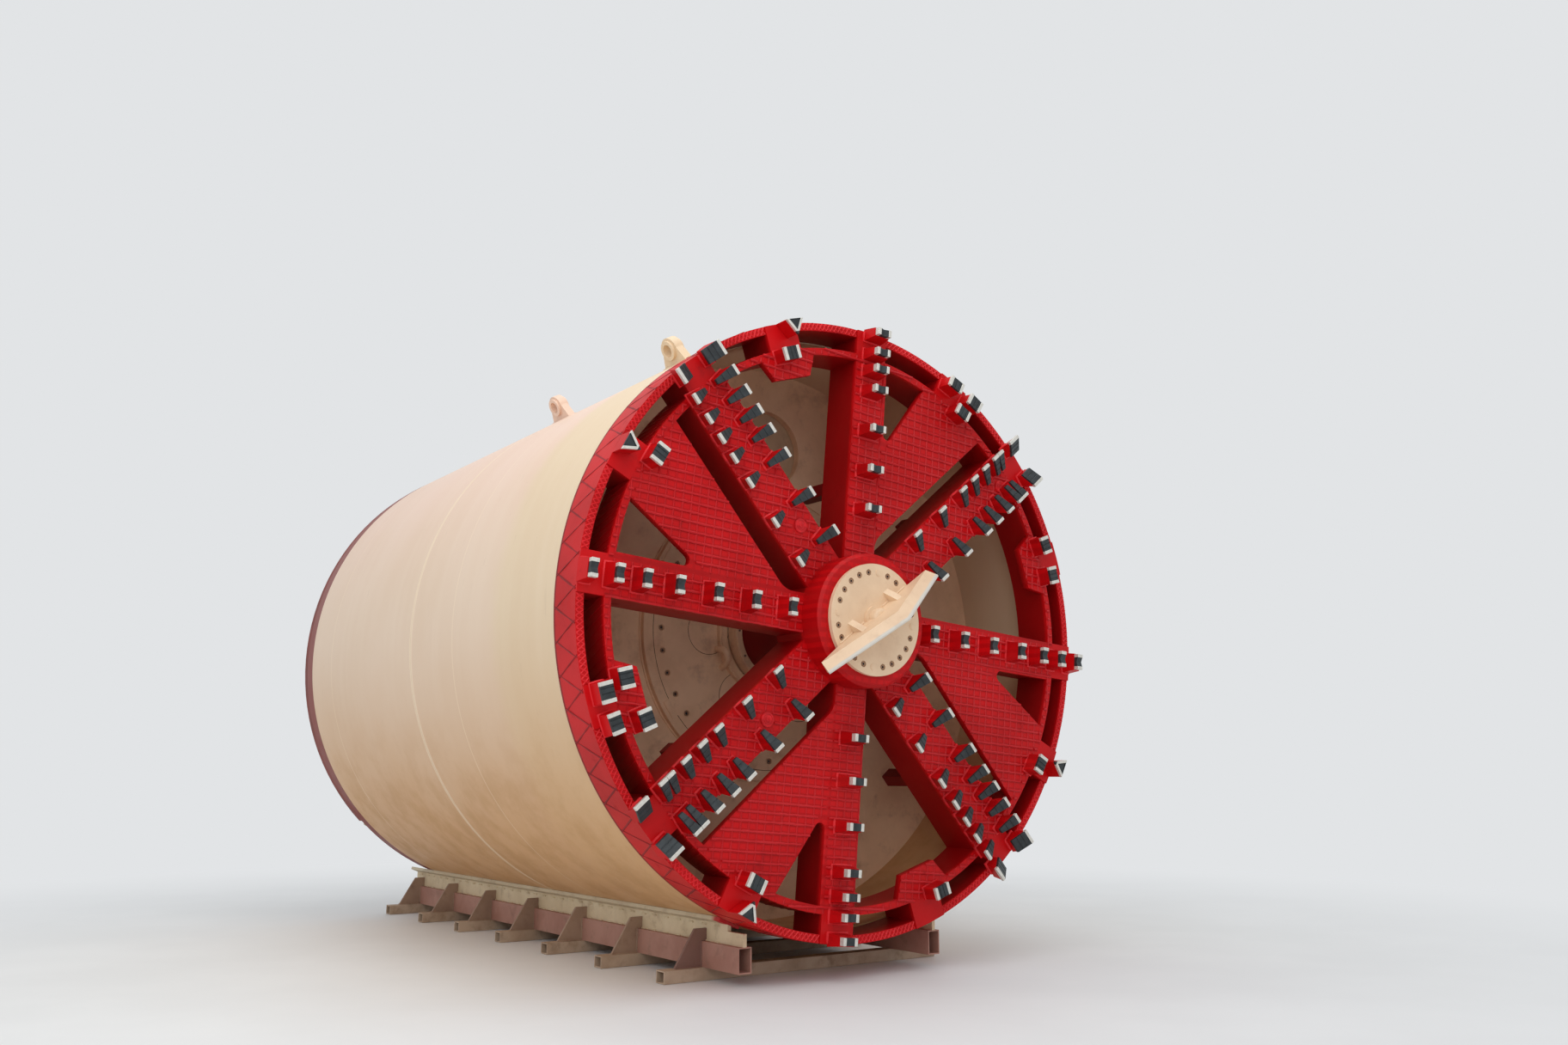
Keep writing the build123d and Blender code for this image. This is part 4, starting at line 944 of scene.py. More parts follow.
def prong(inner, outer, begin):
    """One blade between an inner and an outer width, with sunk rows across it."""
    length, edge = SCRAPER_OUT - begin, SCRAPER_OUT - HARD
    blade = box((1, length, PLATE), (0, begin + length / 2, -PLATE / 2))
    rows = [begin + (edge - begin) * share for share in GROOVES]
    cut_rows([place for row in rows for place in (row - GROOVE_HALF, row + GROOVE_HALF)] + [edge])
    for row in rows:
        pick(lambda c, n: n.z > 0.9 and abs(c.y - row) < 0.002)
        raised(-GROOVE_DEEP)
    pick(lambda c, n: n.z > 0.9 and c.y > edge)
    raised(HARD_RISE)
    object_mode()
    for vertex in blade.data.vertices:
        share, height = ramp(vertex.co.y, begin, edge)
        low = inner[0] + (outer[0] - inner[0]) * share
        high = inner[1] + (outer[1] - inner[1]) * share
        vertex.co.x = low + (high - low) * (vertex.co.x + 0.5)
        vertex.co.z += height
    return soften(0.0016)


def wedge(inner, outer, begin, past):
    """The holder under a blade: a foot on the spoke and a top that follows the blade."""
    inset = 0.004
    foot_long = TWIN_HALF - 0.003 - begin - inset
    top_long = SCRAPER_OUT - past - begin
    holder = box((1, 1, 1), (0, 0.5, 0.5))
    cut_rows([0.25, 0.6])
    object_mode()
    for vertex in holder.data.vertices:
        y_share, upper = vertex.co.y, vertex.co.z > 0.5
        vertex.co.y = begin + inset + (top_long if upper else foot_long) * y_share
        share, height = ramp(vertex.co.y, begin, SCRAPER_OUT - HARD)
        slack = -0.002 if upper else 0.006
        low = inner[0] + (outer[0] - inner[0]) * share - slack
        high = inner[1] + (outer[1] - inner[1]) * share + slack
        vertex.co.x = low + (high - low) * (vertex.co.x + 0.5)
        vertex.co.z = height - PLATE + 0.001 if upper else 0
    return soften(0.003)


BLADES = {
    NARROW: ([((-0.018, 0.018), (-0.037, 0.037))], 0.052),
    DOUBLE: ([((-0.052, -0.016), (-0.064, -0.001)), ((0.016, 0.052), (0.001, 0.064))], 0.052),
    GAUGE: ([((-0.052, 0.052), (-0.055, 0.055))], SCRAPER_OUT - 0.12),
}
blade_sets, holder_sets = [], []
for kind, (outlines, begin) in BLADES.items():
    places = []
    for turn, r, own_kind, side in scrapers:
        if own_kind == kind:
            place = on_head(turn, r)
            places.append(place @ Matrix.Rotation(pi, 4, "Z") if side < 0 else place)
    blades = joined("blades", [prong(*outline, begin) for outline in outlines])
    two_tone(blades, tool_black, carbide, lambda c, n: c.y > SCRAPER_OUT - HARD + PAINT_GAP)
    blade_sets.append(copies(blades, places, f"scraper_blades_{kind}"))
    inner = (outlines[0][0][0], outlines[-1][0][1])
    outer = (outlines[0][1][0], outlines[-1][1][1])
    holder_sets.append(copies(wedge(inner, outer, begin, 0.008), places, f"scraper_wedges_{kind}"))

# %% [markdown]
# The ring tools are square plates with a hard edge on two sides and steps
# between, on blocks with sloping sides.

# %% Ring tools
RING_TOOL = 0.13
ring_edge = RING_TOOL / 2 - HARD


def sloped_block(width, length, height):
    """Block with sloping sides, as the tools' holders have."""
    draft = 0.006
    foot = box((width, length, height), (0, 0, height / 2))
    for vertex in foot.data.vertices:
        if vertex.co.z > height / 2:
            vertex.co.x -= draft * (1 if vertex.co.x > 0 else -1)
            vertex.co.y -= draft * (1 if vertex.co.y > 0 else -1)
    return soften(0.003)


for half in sorted({tool[2] for tool in ring_tools}):
    places = [on_head(turn, r) for turn, r, size in ring_tools if size == half]
    plate = box((2 * half, RING_TOOL, PLATE), (0, 0, FACE_TOP - PLATE / 2))
    rows = (-0.028, -0.021, 0.004, 0.011)
    cut_rows([-ring_edge, *rows, ring_edge])
    for low, high in zip(rows[::2], rows[1::2]):
        pick(lambda c, n: n.z > 0.9 and low < c.y < high)
        raised(-0.005)
    pick(lambda c, n: n.z > 0.9 and abs(c.y) > ring_edge)
    raised(HARD_RISE)
    soften(0.0014)
    two_tone(plate, tool_black, carbide, lambda c, n: abs(c.y) > ring_edge + PAINT_GAP)
    blade_sets.append(copies(plate, places, f"ring_plates_{round(half * 1000)}"))
    holder = sloped_block(2 * half + 0.006, RING_TOOL + 0.004, TOOL_TOP - PLATE)
    holder_sets.append(copies(holder, places, f"ring_blocks_{round(half * 1000)}"))

# %% [markdown]
# A V tool is a triangle whose point looks inward. It is cut along both legs and
# across near its point. The strips along the legs are ground carbide, and the
# point and the sunk field between the legs are black.

# %% V tools
leg = hypot(VEE_LEN, VEE_HALF)


def inside_leg(c, side):
    """How far a place lies inside one leg of the V."""
    return ((c.x + VEE_LEN) * VEE_HALF - side * c.y * VEE_LEN) / leg


def vee_shape(height, thickness):
    """Triangle with its point inward: a block whose inner end is drawn together."""
    shape = box((VEE_LEN, 2 * VEE_HALF, thickness), (-VEE_LEN / 2, 0, height - thickness / 2))
    for vertex in shape.data.vertices:
        if vertex.co.x < -VEE_LEN / 2:
            vertex.co.y = 0
    edit_all()
    bpy.ops.mesh.remove_doubles(threshold=0.0005)
    return shape


vee = vee_shape(TOOL_TOP, PLATE)
for side in (-1, 1):
    edit_all()
    normal = Vector((VEE_HALF, -side * VEE_LEN, 0)) / leg
    bpy.ops.mesh.bisect(plane_co=Vector((-VEE_LEN, 0, 0)) + normal * VEE_EDGE, plane_no=normal)
edit_all()
bpy.ops.mesh.bisect(plane_co=(VEE_TIP, 0, 0), plane_no=(1, 0, 0))
pick(lambda c, n: n.z > 0.9 and min(inside_leg(c, -1), inside_leg(c, 1)) > VEE_EDGE)
raised(-0.007)
soften(0.0012)
two_tone(vee, carbide, tool_black,
         lambda c, n: c.x < VEE_TIP or min(inside_leg(c, -1), inside_leg(c, 1)) > VEE_EDGE - 0.001)
vee_places = [on_head(turn, RIM_R) for turn in VEE_TOOLS]
blade_sets.append(copies(vee, vee_places, "vee_plates"))
vee_block = vee_shape(TOOL_TOP - PLATE, TOOL_TOP - PLATE)
soften(0.003)
holder_sets.append(copies(vee_block, vee_places, "vee_blocks"))

# %% [markdown]
# The new edges and holders stand for plainer solids of the same sizes, which
# the dressed model doesn't show.

# %% The tools stand for the solids
cutting_edges = joined("cutting_edges", [ripper_heads, *blade_sets])
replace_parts(finish_piece(cutting_edges, None, "cutterhead"),
            "ripper_tips", "scraper_blades", "carbide_edges")
tool_holders = joined("tool_holders", holder_sets)
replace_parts(finish_piece(tool_holders, head_red, "cutterhead"), "scraper_holders")

# %% [markdown]
# Each foot is welded all round with a thick fillet. It is a bead that follows
# the foot's outline. The lifting lugs and the knife are welded in the same way.

# %% Welds round the feet
WELD_REACH = RIM_R - 0.01
WELD_LIFT = 0.002


def round_foot(matrix, length, width, taper=0.0):
    """Closed run round a foot in the matrix's plane, narrower at one end, kept inside the rim."""
    a, b = length / 2, width / 2
    corners = [(-a, -b), (0, -b), (a, -b), (a, 0), (a, b), (0, b), (-a, b), (-a, 0), (-a, -b),
               (-a * 0.5, -b)]
    axis = Vector((0, 0, AXIS_Z))
    run = []
    for x, y in corners:
        x *= 1 - abs(taper) * (0.5 - y / width * (1 if taper > 0 else -1))
        point = matrix @ Vector((x, y, 0)) - axis
        distance = hypot(point.x, point.z)
        if matrix.col[2].y < -0.9 and distance > WELD_REACH:
            point.x *= WELD_REACH / distance
            point.z *= WELD_REACH / distance
        run.append(point + axis)
    return run


feet = [round_foot(on_head(turn, r, lift=WELD_LIFT), 0.088, 0.153) for turn, r in rippers]
for turn, r, kind, side in scrapers:
    outlines, begin = BLADES[kind]
    middle = side * (TWIN_HALF + begin) / 2
    wide = 2 * outlines[-1][1][1] + 0.014
    taper = 0.4 if kind == NARROW else 0.1
    feet.append(round_foot(on_head(turn, r, middle, WELD_LIFT), wide, TWIN_HALF - begin, side * taper))
for turn, r, half in ring_tools:
    feet.append(round_foot(on_head(turn, r, lift=WELD_LIFT), 2 * half, RING_TOOL))
beads("tool_welds", feet, 0.011, highlit_bead_red, "cutterhead")

lug_feet = [round_foot(on_shell(s, 90 + lean, SHELL_R - 0.001), 0.29, 0.072)
            for s in (0.7, 2.5) for lean in (-28.7, 28.7)]
beads("lug_welds", lug_feet, 0.009, shield_cream, "front_shield")

knife_runs = []
COVER_LIFT = 0.22
for side in (-1, 1):
    for begin, end in ((-0.345, -0.22), (-0.16, -0.1), (0.1, 0.16), (0.22, 0.345)):
        run = [on_head(KNIFE_TURN, begin + (end - begin) * i / 4, side * 0.041, COVER_LIFT).translation
               for i in range(5)]
        knife_runs.append(run)
beads("knife_welds", knife_runs, 0.008, hub_cream, "cutterhead")

# %% [markdown]
# ## Bolts, plugs and plates of the front
# The hub's cover has a ring of cap screws sunk in round holes, with a flush
# plug on each spoke's line. A cap screw is a round head with a socket: a disc
# whose top is inset and sunk. The drive flange behind has the same screws.

# %% Cap screws
def cap_screw(radius, height, paint):
    """Round head with a chamfered rim and a socket painted near black, as painted shade."""
    chamfer, socket = (radius * 0.12, radius * 0.1), (radius * 0.36, -height * 0.6)
    screw = stepped(disc(radius, height, 18), [chamfer, socket])
    return two_tone(screw, paint, socket_shade,
                    lambda c, n: hypot(c.x, c.y) < radius * 0.56 and c.z > height * 0.3)


COVER_BOLT_R, FLANGE_BOLT_R = 0.317, 0.92
SUNK = 0.016
cover_places = [on_head(15 * i, COVER_BOLT_R, lift=COVER_LIFT - SUNK) for i in range(24) if i % 6]
set_out("cover_screws", cap_screw(0.0145, 0.012, bolt_tan), cover_places,
        None, "cutterhead", smooth=30)
plug = stepped(disc(0.024, 0.002, 28), [(0.003, 0.002), (0.009, 0.0015)])
plug_places = [on_head(90 * i, COVER_BOLT_R, lift=COVER_LIFT) for i in range(4)]
set_out("cover_plugs", plug, plug_places, hub_cream, "cutterhead", 30)

screw_places = [at_station(FLANGE_S + SUNK, 10 * i, FLANGE_BOLT_R) for i in range(36)]
set_out("flange_screws", cap_screw(0.0165, 0.012, bolt_tan), screw_places,
        None, "front_shield", smooth=30)
washer = stepped(hoop(0.03, 0.0215, 0.0012, 24), [(0.002, 0.001)])
washer_places = [at_station(FLANGE_S, 10 * i, FLANGE_BOLT_R) for i in range(36)]
set_out("flange_washers", washer, washer_places, chamber_cream, "front_shield", 30)

# %% [markdown]
# Nozzles for foam sit in the wide spokes under round wear caps. Each cap is a
# disc turned in rings round a plug.

# %% Nozzle caps
cap = stepped(disc(0.048, 0.006, 36), [
    (0.004, 0.002), (0.007, -0.003), (0.006, 0.0), (0.004, 0.003), (0.008, -0.002),
    (0.004, 0.004), (0.005, -0.003)])
nozzle_places = [on_head(*place, 0.0015) for place in NOZZLES]
set_out("nozzle_caps", cap, nozzle_places, highlit_bead_red, "cutterhead", 30)

# %% [markdown]
# The flange carries scribed circles: one large ring near its edge and six
# smaller ones in front of the motors, with small plates welded over the ring.
# A scribed line is a fine groove; its shade is drawn as a very thin dark bead, painted shade.

# %% Lines and plates on the flange
def circle(centre_x, centre_z, radius, station, count):
    """Closed run round a circle on an upright plane."""
    return [Vector((centre_x + radius * cos(2 * pi * i / count), FACE_Y + station,
                    AXIS_Z + centre_z + radius * sin(2 * pi * i / count))) for i in range(count + 1)]


SCRIBED_S = FLANGE_S - 0.0002
flange_circles = [circle(0, 0, 0.985, SCRIBED_S, 120)]
for i in range(6):
    turn = radians(60 * i)
    flange_circles.append(circle(0.53 * cos(turn), 0.53 * sin(turn), 0.17, SCRIBED_S, 48))
beads("flange_lines", flange_circles, 0.0022, groove_shade_brown, "front_shield", sides=0)

plate = stepped(box((0.05, 0.135, 0.006), (0, 0, 0.003)), [(0.004, 0.002)])
flange_places = []
for angle in (149, -146, -83, -22, 38, 94):
    place = at_station(FLANGE_S, angle, 1.008)
    flange_places.append(place @ Matrix.Rotation(radians(angle), 4, "Z"))
set_out("flange_plates", plate, flange_places, chamber_cream, "front_shield")

# %% [markdown]
# Stepped collars seal the main shaft. The turning one is bolted to the shaft,
# the still one to the flange. A grease pipe loops out beside them.

# %% Shaft collars and grease pipe
COLLAR_S, COLLAR_LONG = 0.985, 0.1
collar = stepped(hoop(0.385, 0.3305, COLLAR_LONG, 64), [(0.008, 0.006)])
collar.data.transform(at_station(COLLAR_S))
bolt_places = [at_station(round(COLLAR_S - COLLAR_LONG - 0.002, 4), 30 * i, 0.357) for i in range(12)]
bolts = copies(cap_screw(0.009, 0.008, bolt_tan), bolt_places, "collar_bolts")
collar.data.materials.append(chamber_cream)
finish_piece(joined("shaft_collar", [collar, bolts]), None, "cutterhead", 30)
housing = stepped(hoop(0.46, 0.395, 0.04, 64), [(0.012, 0.008)])
housing.data.transform(at_station(FLANGE_S))
finish_piece(housing, chamber_cream, "front_shield", 30)


def spot(x, z, station):
    """Point by its place from the axis and its station."""
    return Vector((x, FACE_Y + station, AXIS_Z + z))


grease_run = [spot(-0.46, -0.13, FLANGE_S), spot(-0.46, -0.13, 0.94), spot(-0.44, -0.17, 0.9),
              spot(-0.42, -0.23, 0.93), spot(-0.415, -0.26, FLANGE_S)]
pipes("grease_pipe", [grease_run], 0.024, chamber_cream, "front_shield")

# %% [markdown]
# ## Inside the shields
# From behind, the open tail shows the machine's rooms. Welds run along the
# ribs, the motors have fins and covers, the screw's drive has its own motor,
# and pipes follow the shell.

# %% Welds along the ribs
for name, body, stations in (
        ("front_rib_welds", "front_shield", (1.845, 1.885, 2.245, 2.285)),
        ("rear_rib_welds", "root", (3.346, 3.384, 4.296, 4.334, 5.246, 5.284))):
    hoops = [circle(0, 0, SHELL_IN - 0.003, s, 72) for s in stations]
    beads(name, hoops, 0.009, inside_cream, body)

# %% [markdown]
# A finned motor is a round body with every other side face pulled out. Its
# cover is a cap with rings, and a terminal box sits on top.

# %% Motors
def motor(radius, length):
    """Finned motor that stands on its centre, with a cap and a terminal box."""
    sides = 36

    def is_fin(c, n):
        """Every other side face."""
        if abs(n.z) > 0.1:
            return False
        turn = Vector((1, 0)).angle_signed(Vector((n.x, n.y))) + pi
        return round(turn / (2 * pi / sides) - 0.5) % 2 == 0

    body = disc(radius, length * 0.7, sides, (0, 0, length * 0.1))
    pick(is_fin)
    bpy.ops.mesh.extrude_faces_move(TRANSFORM_OT_shrink_fatten={"value": radius * 0.09})
    object_mode()
    foot = disc(radius * 1.12, length * 0.1, 32)
    cap = disc(radius * 1.08, length * 0.2, 32, (0, 0, length * 0.8))
    stepped(cap, [(radius * 0.12, length * 0.03), (radius * 0.3, -0.006), (radius * 0.1, 0.004)])
    terminals = box((radius * 0.9, radius * 1.1, radius * 0.6), (0, 0, length * 0.45))
    stepped(terminals, [(0.006, 0.004)])
    terminals.data.transform(Matrix.Translation((0, radius * 1.1, 0)))
    gland = disc(radius * 0.14, radius * 0.3, 12)
    gland.data.transform(Matrix.Translation((radius * 0.45, radius * 1.1, length * 0.45))
                         @ Matrix.Rotation(pi / 2, 4, "Y"))
    return joined("motor", [body, foot, cap, terminals, gland])


MOTOR_R = 0.54
motor_places = []
for i in range(6):
    place = at_station(round(MOTOR_S + 0.08, 4), 60 * i, MOTOR_R, 1)
    motor_places.append(place @ Matrix.Rotation(radians(90 - 60 * i), 4, "Z"))
set_out("motor_covers", motor(0.168, 0.5), motor_places, drive_grey, "front_shield", 30)

RISE = radians(13)
SCREW_S, SCREW_DOWN = 1.06, 1.45
SCREW_WAY = Vector((0, cos(RISE), sin(RISE)))
SCREW_UP = Vector((0, -sin(RISE), cos(RISE)))
SCREW_START = Vector((0, FACE_Y + SCREW_S, AXIS_Z - SCREW_DOWN))


def screw_end(along, angle=0.0, radius=0.0):
    """Place square to the screw, whose Z looks back along it; the angle runs from the side up."""
    out = Vector((1, 0, 0)) * cos(radians(angle)) + SCREW_UP * sin(radians(angle))
    return facing(SCREW_WAY, SCREW_START + SCREW_WAY * along + out * radius)


set_out("screw_motor", motor(0.13, 0.26), [screw_end(4.22)], drive_grey, "front_shield", 30)

# %% [markdown]
# Flanges are drawn together by hexagon bolts: a six-sided head on a washer.

# %% Hexagon bolts
def hex_bolt(radius):
    """Six-sided head on a washer."""
    washer = disc(radius * 1.35, radius * 0.25, 20)
    head = disc(radius, radius * 0.8, 6, (0, 0, radius * 0.25))
    stepped(head, [(radius * 0.1, radius * 0.08)])
    return joined("bolt", [washer, head])


DRUM_S = round(DRIVE_S + 0.04, 4)
drive_places = [at_station(DRUM_S, 15 * i, 0.805, 1) for i in range(24)]
set_out("drive_bolts", hex_bolt(0.022), drive_places, bolt_steel, "front_shield")
TURNED_OVER = Matrix.Rotation(pi, 4, "X")
screw_places = [screw_end(3.86, 22.5 * i + 11, 0.295) @ TURNED_OVER for i in range(16)]
set_out("screw_bolts", hex_bolt(0.014), screw_places, bolt_steel, "front_shield")

# %% [markdown]
# Stiffeners stand between the drive's drum and its flange, and three clamp
# bands hold the screw's tube. The discharge gate has a small ram under the
# screw's drive: its barrel stays, and its rod rides on the gate.

# %% Stiffeners, bands and the gate's ram
rib = box((0.075, 0.018, 0.16), (0, 0, 0.08))
for vertex in rib.data.vertices:
    if vertex.co.z > 0.1 and vertex.co.x > 0:
        vertex.co.x = -0.03
soften(0.003)
rib_places = []
for i in range(24):
    angle = 15 * i + 7.5
    inward = Matrix.Rotation(radians(-angle) + pi, 4, "Z")
    rib_places.append(at_station(DRUM_S, angle, 0.795, 1) @ inward)
set_out("drive_ribs", rib, rib_places, drive_grey, "front_shield")

band = stepped(hoop(0.277, 0.2655, 0.05, 48), [(0.003, 0.003)])
ear = stepped(box((0.05, 0.03, 0.05), (0.295, 0, 0.025)), [(0.006, 0.003)])
band_places = [screw_end(along) for along in (0.9, 1.9, 2.7)]
set_out("tube_bands", joined("band", [band, ear]), band_places, drive_grey, "front_shield", 30)

GATE_DOWN = 0.403


def under_screw(along):
    """Place on the gate ram's line, whose Z looks back along the screw."""
    return facing(SCREW_WAY, SCREW_START + SCREW_WAY * along - SCREW_UP * GATE_DOWN)


ram = stepped(disc(0.036, 0.46, 28), [(0.006, 0.006)])
lug = stepped(box((0.03, 0.07, 0.2), (0, 0.06, 0.38)), [(0.004, 0.004)])
set_out("gate_ram", joined("ram", [ram, lug]), [under_screw(3.79)],
        drive_grey, "front_shield", 30)
rod = stepped(disc(0.0115, 0.46, 20), [(0.002, 0.002)])
set_out("gate_rod", rod, [under_screw(3.73)], rod_chrome, "gate", 30)

# %% [markdown]
# The man door is held by eight dogs and opened with a handwheel and a bar. All
# of them ride on the door.

# %% Fittings of the man door
door_centre = Vector((0, door_high.y, (door_low.z + door_high.z) / 2))


def on_door(angle=0.0, radius=0.0):
    """Place on the back of the man door."""
    turn = radians(angle)
    return facing((0, 1, 0), door_centre + Vector((cos(turn), 0, sin(turn))) * radius)


dog = stepped(box((0.1, 0.05, 0.022), (0, 0, 0.011)), [(0.006, 0.006)])
knob = stepped(disc(0.017, 0.03, 16, (0, 0, 0.02)), [(0.003, 0.003)])
DOG_R = 0.27
dog_places = []
for i in range(8):
    angle = 45 * i + 22.5
    inward = Matrix.Rotation(pi - radians(angle), 4, "Z")
    dog_places.append(on_door(angle, DOG_R) @ inward)
set_out("door_dogs", joined("dog", [dog, knob]), dog_places, drive_grey, "door", 30)

WHEEL_R, WHEEL_UP = 0.11, 0.06
wheel = on_door()


def on_wheel(turn):
    """Point on the handwheel's rim."""
    return wheel @ Vector((WHEEL_R * cos(turn), WHEEL_R * sin(turn), WHEEL_UP))


wheel_runs = [[on_wheel(pi * i / 12) for i in range(25)],
              [wheel @ Vector((0, 0, 0.0)), wheel @ Vector((0, 0, WHEEL_UP))]]
for i in range(3):
    wheel_runs.append([wheel @ Vector((0, 0, 0.055)), on_wheel(2 * pi / 3 * i)])
pipes("door_wheel", wheel_runs, 0.009, drive_grey, "door")

# %% [markdown]
# The steering cylinders get a gland ring and two ports with rigid pipes that
# run back along the shell.

# %% Fittings of the steering cylinders
STEER_X, STEER_Z = 1.5, 0.95
BARREL_R = 0.082
GLAND_S, PIPE_END_S = 3.06, 4.2
PORTS = ((3.12, 0.03), (3.55, -0.03))
corners = [(x, z) for x in (-STEER_X, STEER_X) for z in (-STEER_Z, STEER_Z)]
gland = stepped(hoop(0.094, 0.0525, 0.05, 40), [(0.006, 0.004)])
gland_places = [facing((0, -1, 0), spot(x, z, GLAND_S)) for x, z in corners]
set_out("gland_rings", gland, gland_places, bolt_steel, "root", smooth=30)
port = stepped(disc(0.024, 0.03, 16), [(0.004, 0.012)])
port_places = []
pipe_runs = []
for x, z in corners:
    inward = Vector((-x, 0, -z)).normalized()
    for s, shift in PORTS:
        foot = spot(x, z, s) + inward * BARREL_R
        port_places.append(facing(inward, foot, (0, 1, 0)))
        lifted = foot + inward * 0.06
        back = Vector((0, 1, 0))
        aside = Vector((inward.z, 0, -inward.x)) * shift
        pipe_runs.append([foot, lifted, lifted + back * 0.06 + aside,
                          lifted + back * (PIPE_END_S - s) + aside])
set_out("cylinder_ports", port, port_places, bolt_steel, "root", smooth=30)
pipes("cylinder_pipes", pipe_runs, 0.011, drive_grey, "root", 2)

# %% [markdown]
# Supply pipes run along the upper left of the rear shell, in clips on the ribs.

# %% Supply pipes
SUPPLY_R, CLIP_R = 1.872, 1.86
supply = [[on_shell(s, angle, SUPPLY_R).translation for s in (3.0, 3.8, 4.6, 5.44)]
          for angle in (150, 153, 156, 159)]
pipes("supply_pipes", supply, 0.022, drive_grey, "root")
clip = stepped(box((0.05, 0.5, 0.012), (0, 0, 0.006)), [(0.006, 0.004)])
clip_places = [on_shell(s, 154.5, CLIP_R) @ TURNED_OVER for s in (3.365, 4.315, 5.265)]
set_out("pipe_clips", clip, clip_places, bolt_steel, "root")

# %% [markdown]
# The cabinet has two framed doors with handles and vent slats, and four
# lifting eyes on top.

# %% Cabinet fronts
door_w = (cabinet_high.y - cabinet_low.y) / 2 - 0.05
door_h = cabinet_high.z - cabinet_low.z - 0.14
leaf = stepped(box((door_w, door_h, 0.02), (0, 0, 0.01)), [(0.035, 0.0), (0.004, -0.006)])
soften(0.002)
slats = []
for i in range(9):
    slat_y = -door_h * 0.3 + i * 0.028
    slat = box((door_w * 0.5, 0.016, 0.01), (0, slat_y, 0.016))
    for vertex in slat.data.vertices:
        if vertex.co.z > 0.016 and vertex.co.y > slat_y:
            vertex.co.z -= 0.007
    slats.append(slat)
handle = stepped(box((0.03, 0.16, 0.02), (door_w * 0.4, 0.05, 0.022)), [(0.006, 0.014)])
panel = joined("leaf", [leaf, *slats, handle])
middle = (cabinet_low + cabinet_high) / 2
aside = door_w / 2 + 0.008
door_places = [facing((-1, 0, 0), (cabinet_low.x, middle.y + side * aside, middle.z))
               for side in (-1, 1)]
set_out("cabinet_doors", panel, door_places, cabinet_grey, "root")
EYE_R = 0.03
eye_ring = [Vector((EYE_R * cos(pi * i / 8), 0, 0.035 + EYE_R * sin(pi * i / 8))) for i in range(17)]
eyes = [[Vector((x, y, cabinet_high.z)) + point for point in eye_ring]
        for x in (cabinet_low.x + 0.06, cabinet_high.x - 0.06)
        for y in (cabinet_low.y + 0.08, cabinet_high.y - 0.08)]
pipes("cabinet_eyes", eyes, 0.008, bolt_steel, "root")

# %% [markdown]
# The tank of the power pack has a bolted lid, a filler, a valve block and a
# finned motor. Three rigid pipes run from it to the shell.

# %% Power pack
DECK_DOWN, TANK_H = 1.25, 0.56
tank_top = AXIS_Z - DECK_DOWN + TANK_H
pack_x = (pack_low.x + pack_high.x) / 2
motor_z = tank_top + 0.15
lid_y = pack_high.y - 0.32
lid = stepped(box((0.46, 0.5, 0.02), (pack_x, lid_y, tank_top + 0.01)), [(0.03, 0.004)])
valves = stepped(box((0.2, 0.26, 0.16), (pack_x + 0.05, pack_high.y - 0.3, tank_top + 0.1)),
                 [(0.02, 0.03), (0.03, 0.04)])
filler = stepped(disc(0.05, 0.06, 24, (pack_x - 0.16, pack_high.y - 0.14, tank_top + 0.01)),
                 [(-0.008, 0.0), (0.0, 0.02), (0.012, 0.006)])
unit = motor(0.152, 0.5)
unit.data.transform(facing((0, 1, 0), (pack_x, FACE_Y + 3.97, motor_z)))
pack_details = joined("pack_details", [lid, valves, filler, unit])
finish_piece(pack_details, drive_grey, "root", 30)
lid_places = [facing((0, 0, 1), (pack_x + x, lid_y + y, tank_top + 0.024), (0, 1, 0))
              for x in (-0.2, 0.2) for y in (-0.22, -0.08, 0.08, 0.22)]
set_out("lid_bolts", hex_bolt(0.011), lid_places, bolt_steel, "root")
pack_pipes = []
for i in range(3):
    x = pack_x - 0.02 + 0.06 * i
    y = pack_high.y - 0.36 + 0.06 * i
    shell_end = on_shell(4.2 + 0.1 * i, 162 + 2.5 * i, 1.93).translation
    pack_pipes.append([Vector((x, y, tank_top + 0.2)), Vector((x, y, tank_top + 0.42)),
                       Vector((x - 0.2, y, tank_top + 0.5)),
                       Vector((shell_end.x + 0.2, y, shell_end.z)), shell_end])
pipes("pack_pipes", pack_pipes, 0.014, drive_grey, "root", 2)

# %% [markdown]
# The deck is tread plate. Its raised marks are small wedges in two directions,
# one copied many hundred times, so each has only a few faces.

# %% Tread marks on the deck
mark = box((0.034, 0.009, 0.003), (0, 0, 0.0015))
pick(top)
bpy.ops.transform.resize(value=(0.5, 0.35, 1))
object_mode()
TREAD_PITCH = 0.058
stands = ((pack_low, pack_high), (cabinet_low, cabinet_high))
tread_places = []
for i in range(int((deck_high.x - deck_low.x) / TREAD_PITCH)):
    for k in range(int((deck_high.y - deck_low.y) / TREAD_PITCH)):
        x = deck_low.x + TREAD_PITCH * (i + 0.5)
        y = deck_low.y + TREAD_PITCH * (k + 0.5)
        if not any(low.x < x < high.x and low.y < y < high.y for low, high in stands):
            turn = radians(45 if (i + k) % 2 else -45)
            tread_places.append(Matrix.Translation((x, y, deck_high.z)) @ Matrix.Rotation(turn, 4, "Z"))
set_out("deck_treads", mark, tread_places, deck_grey, "root")

# %% [markdown]
# ## Details of the cradle
# Short stitch welds hold the seats on their webs and the webs on the beams.

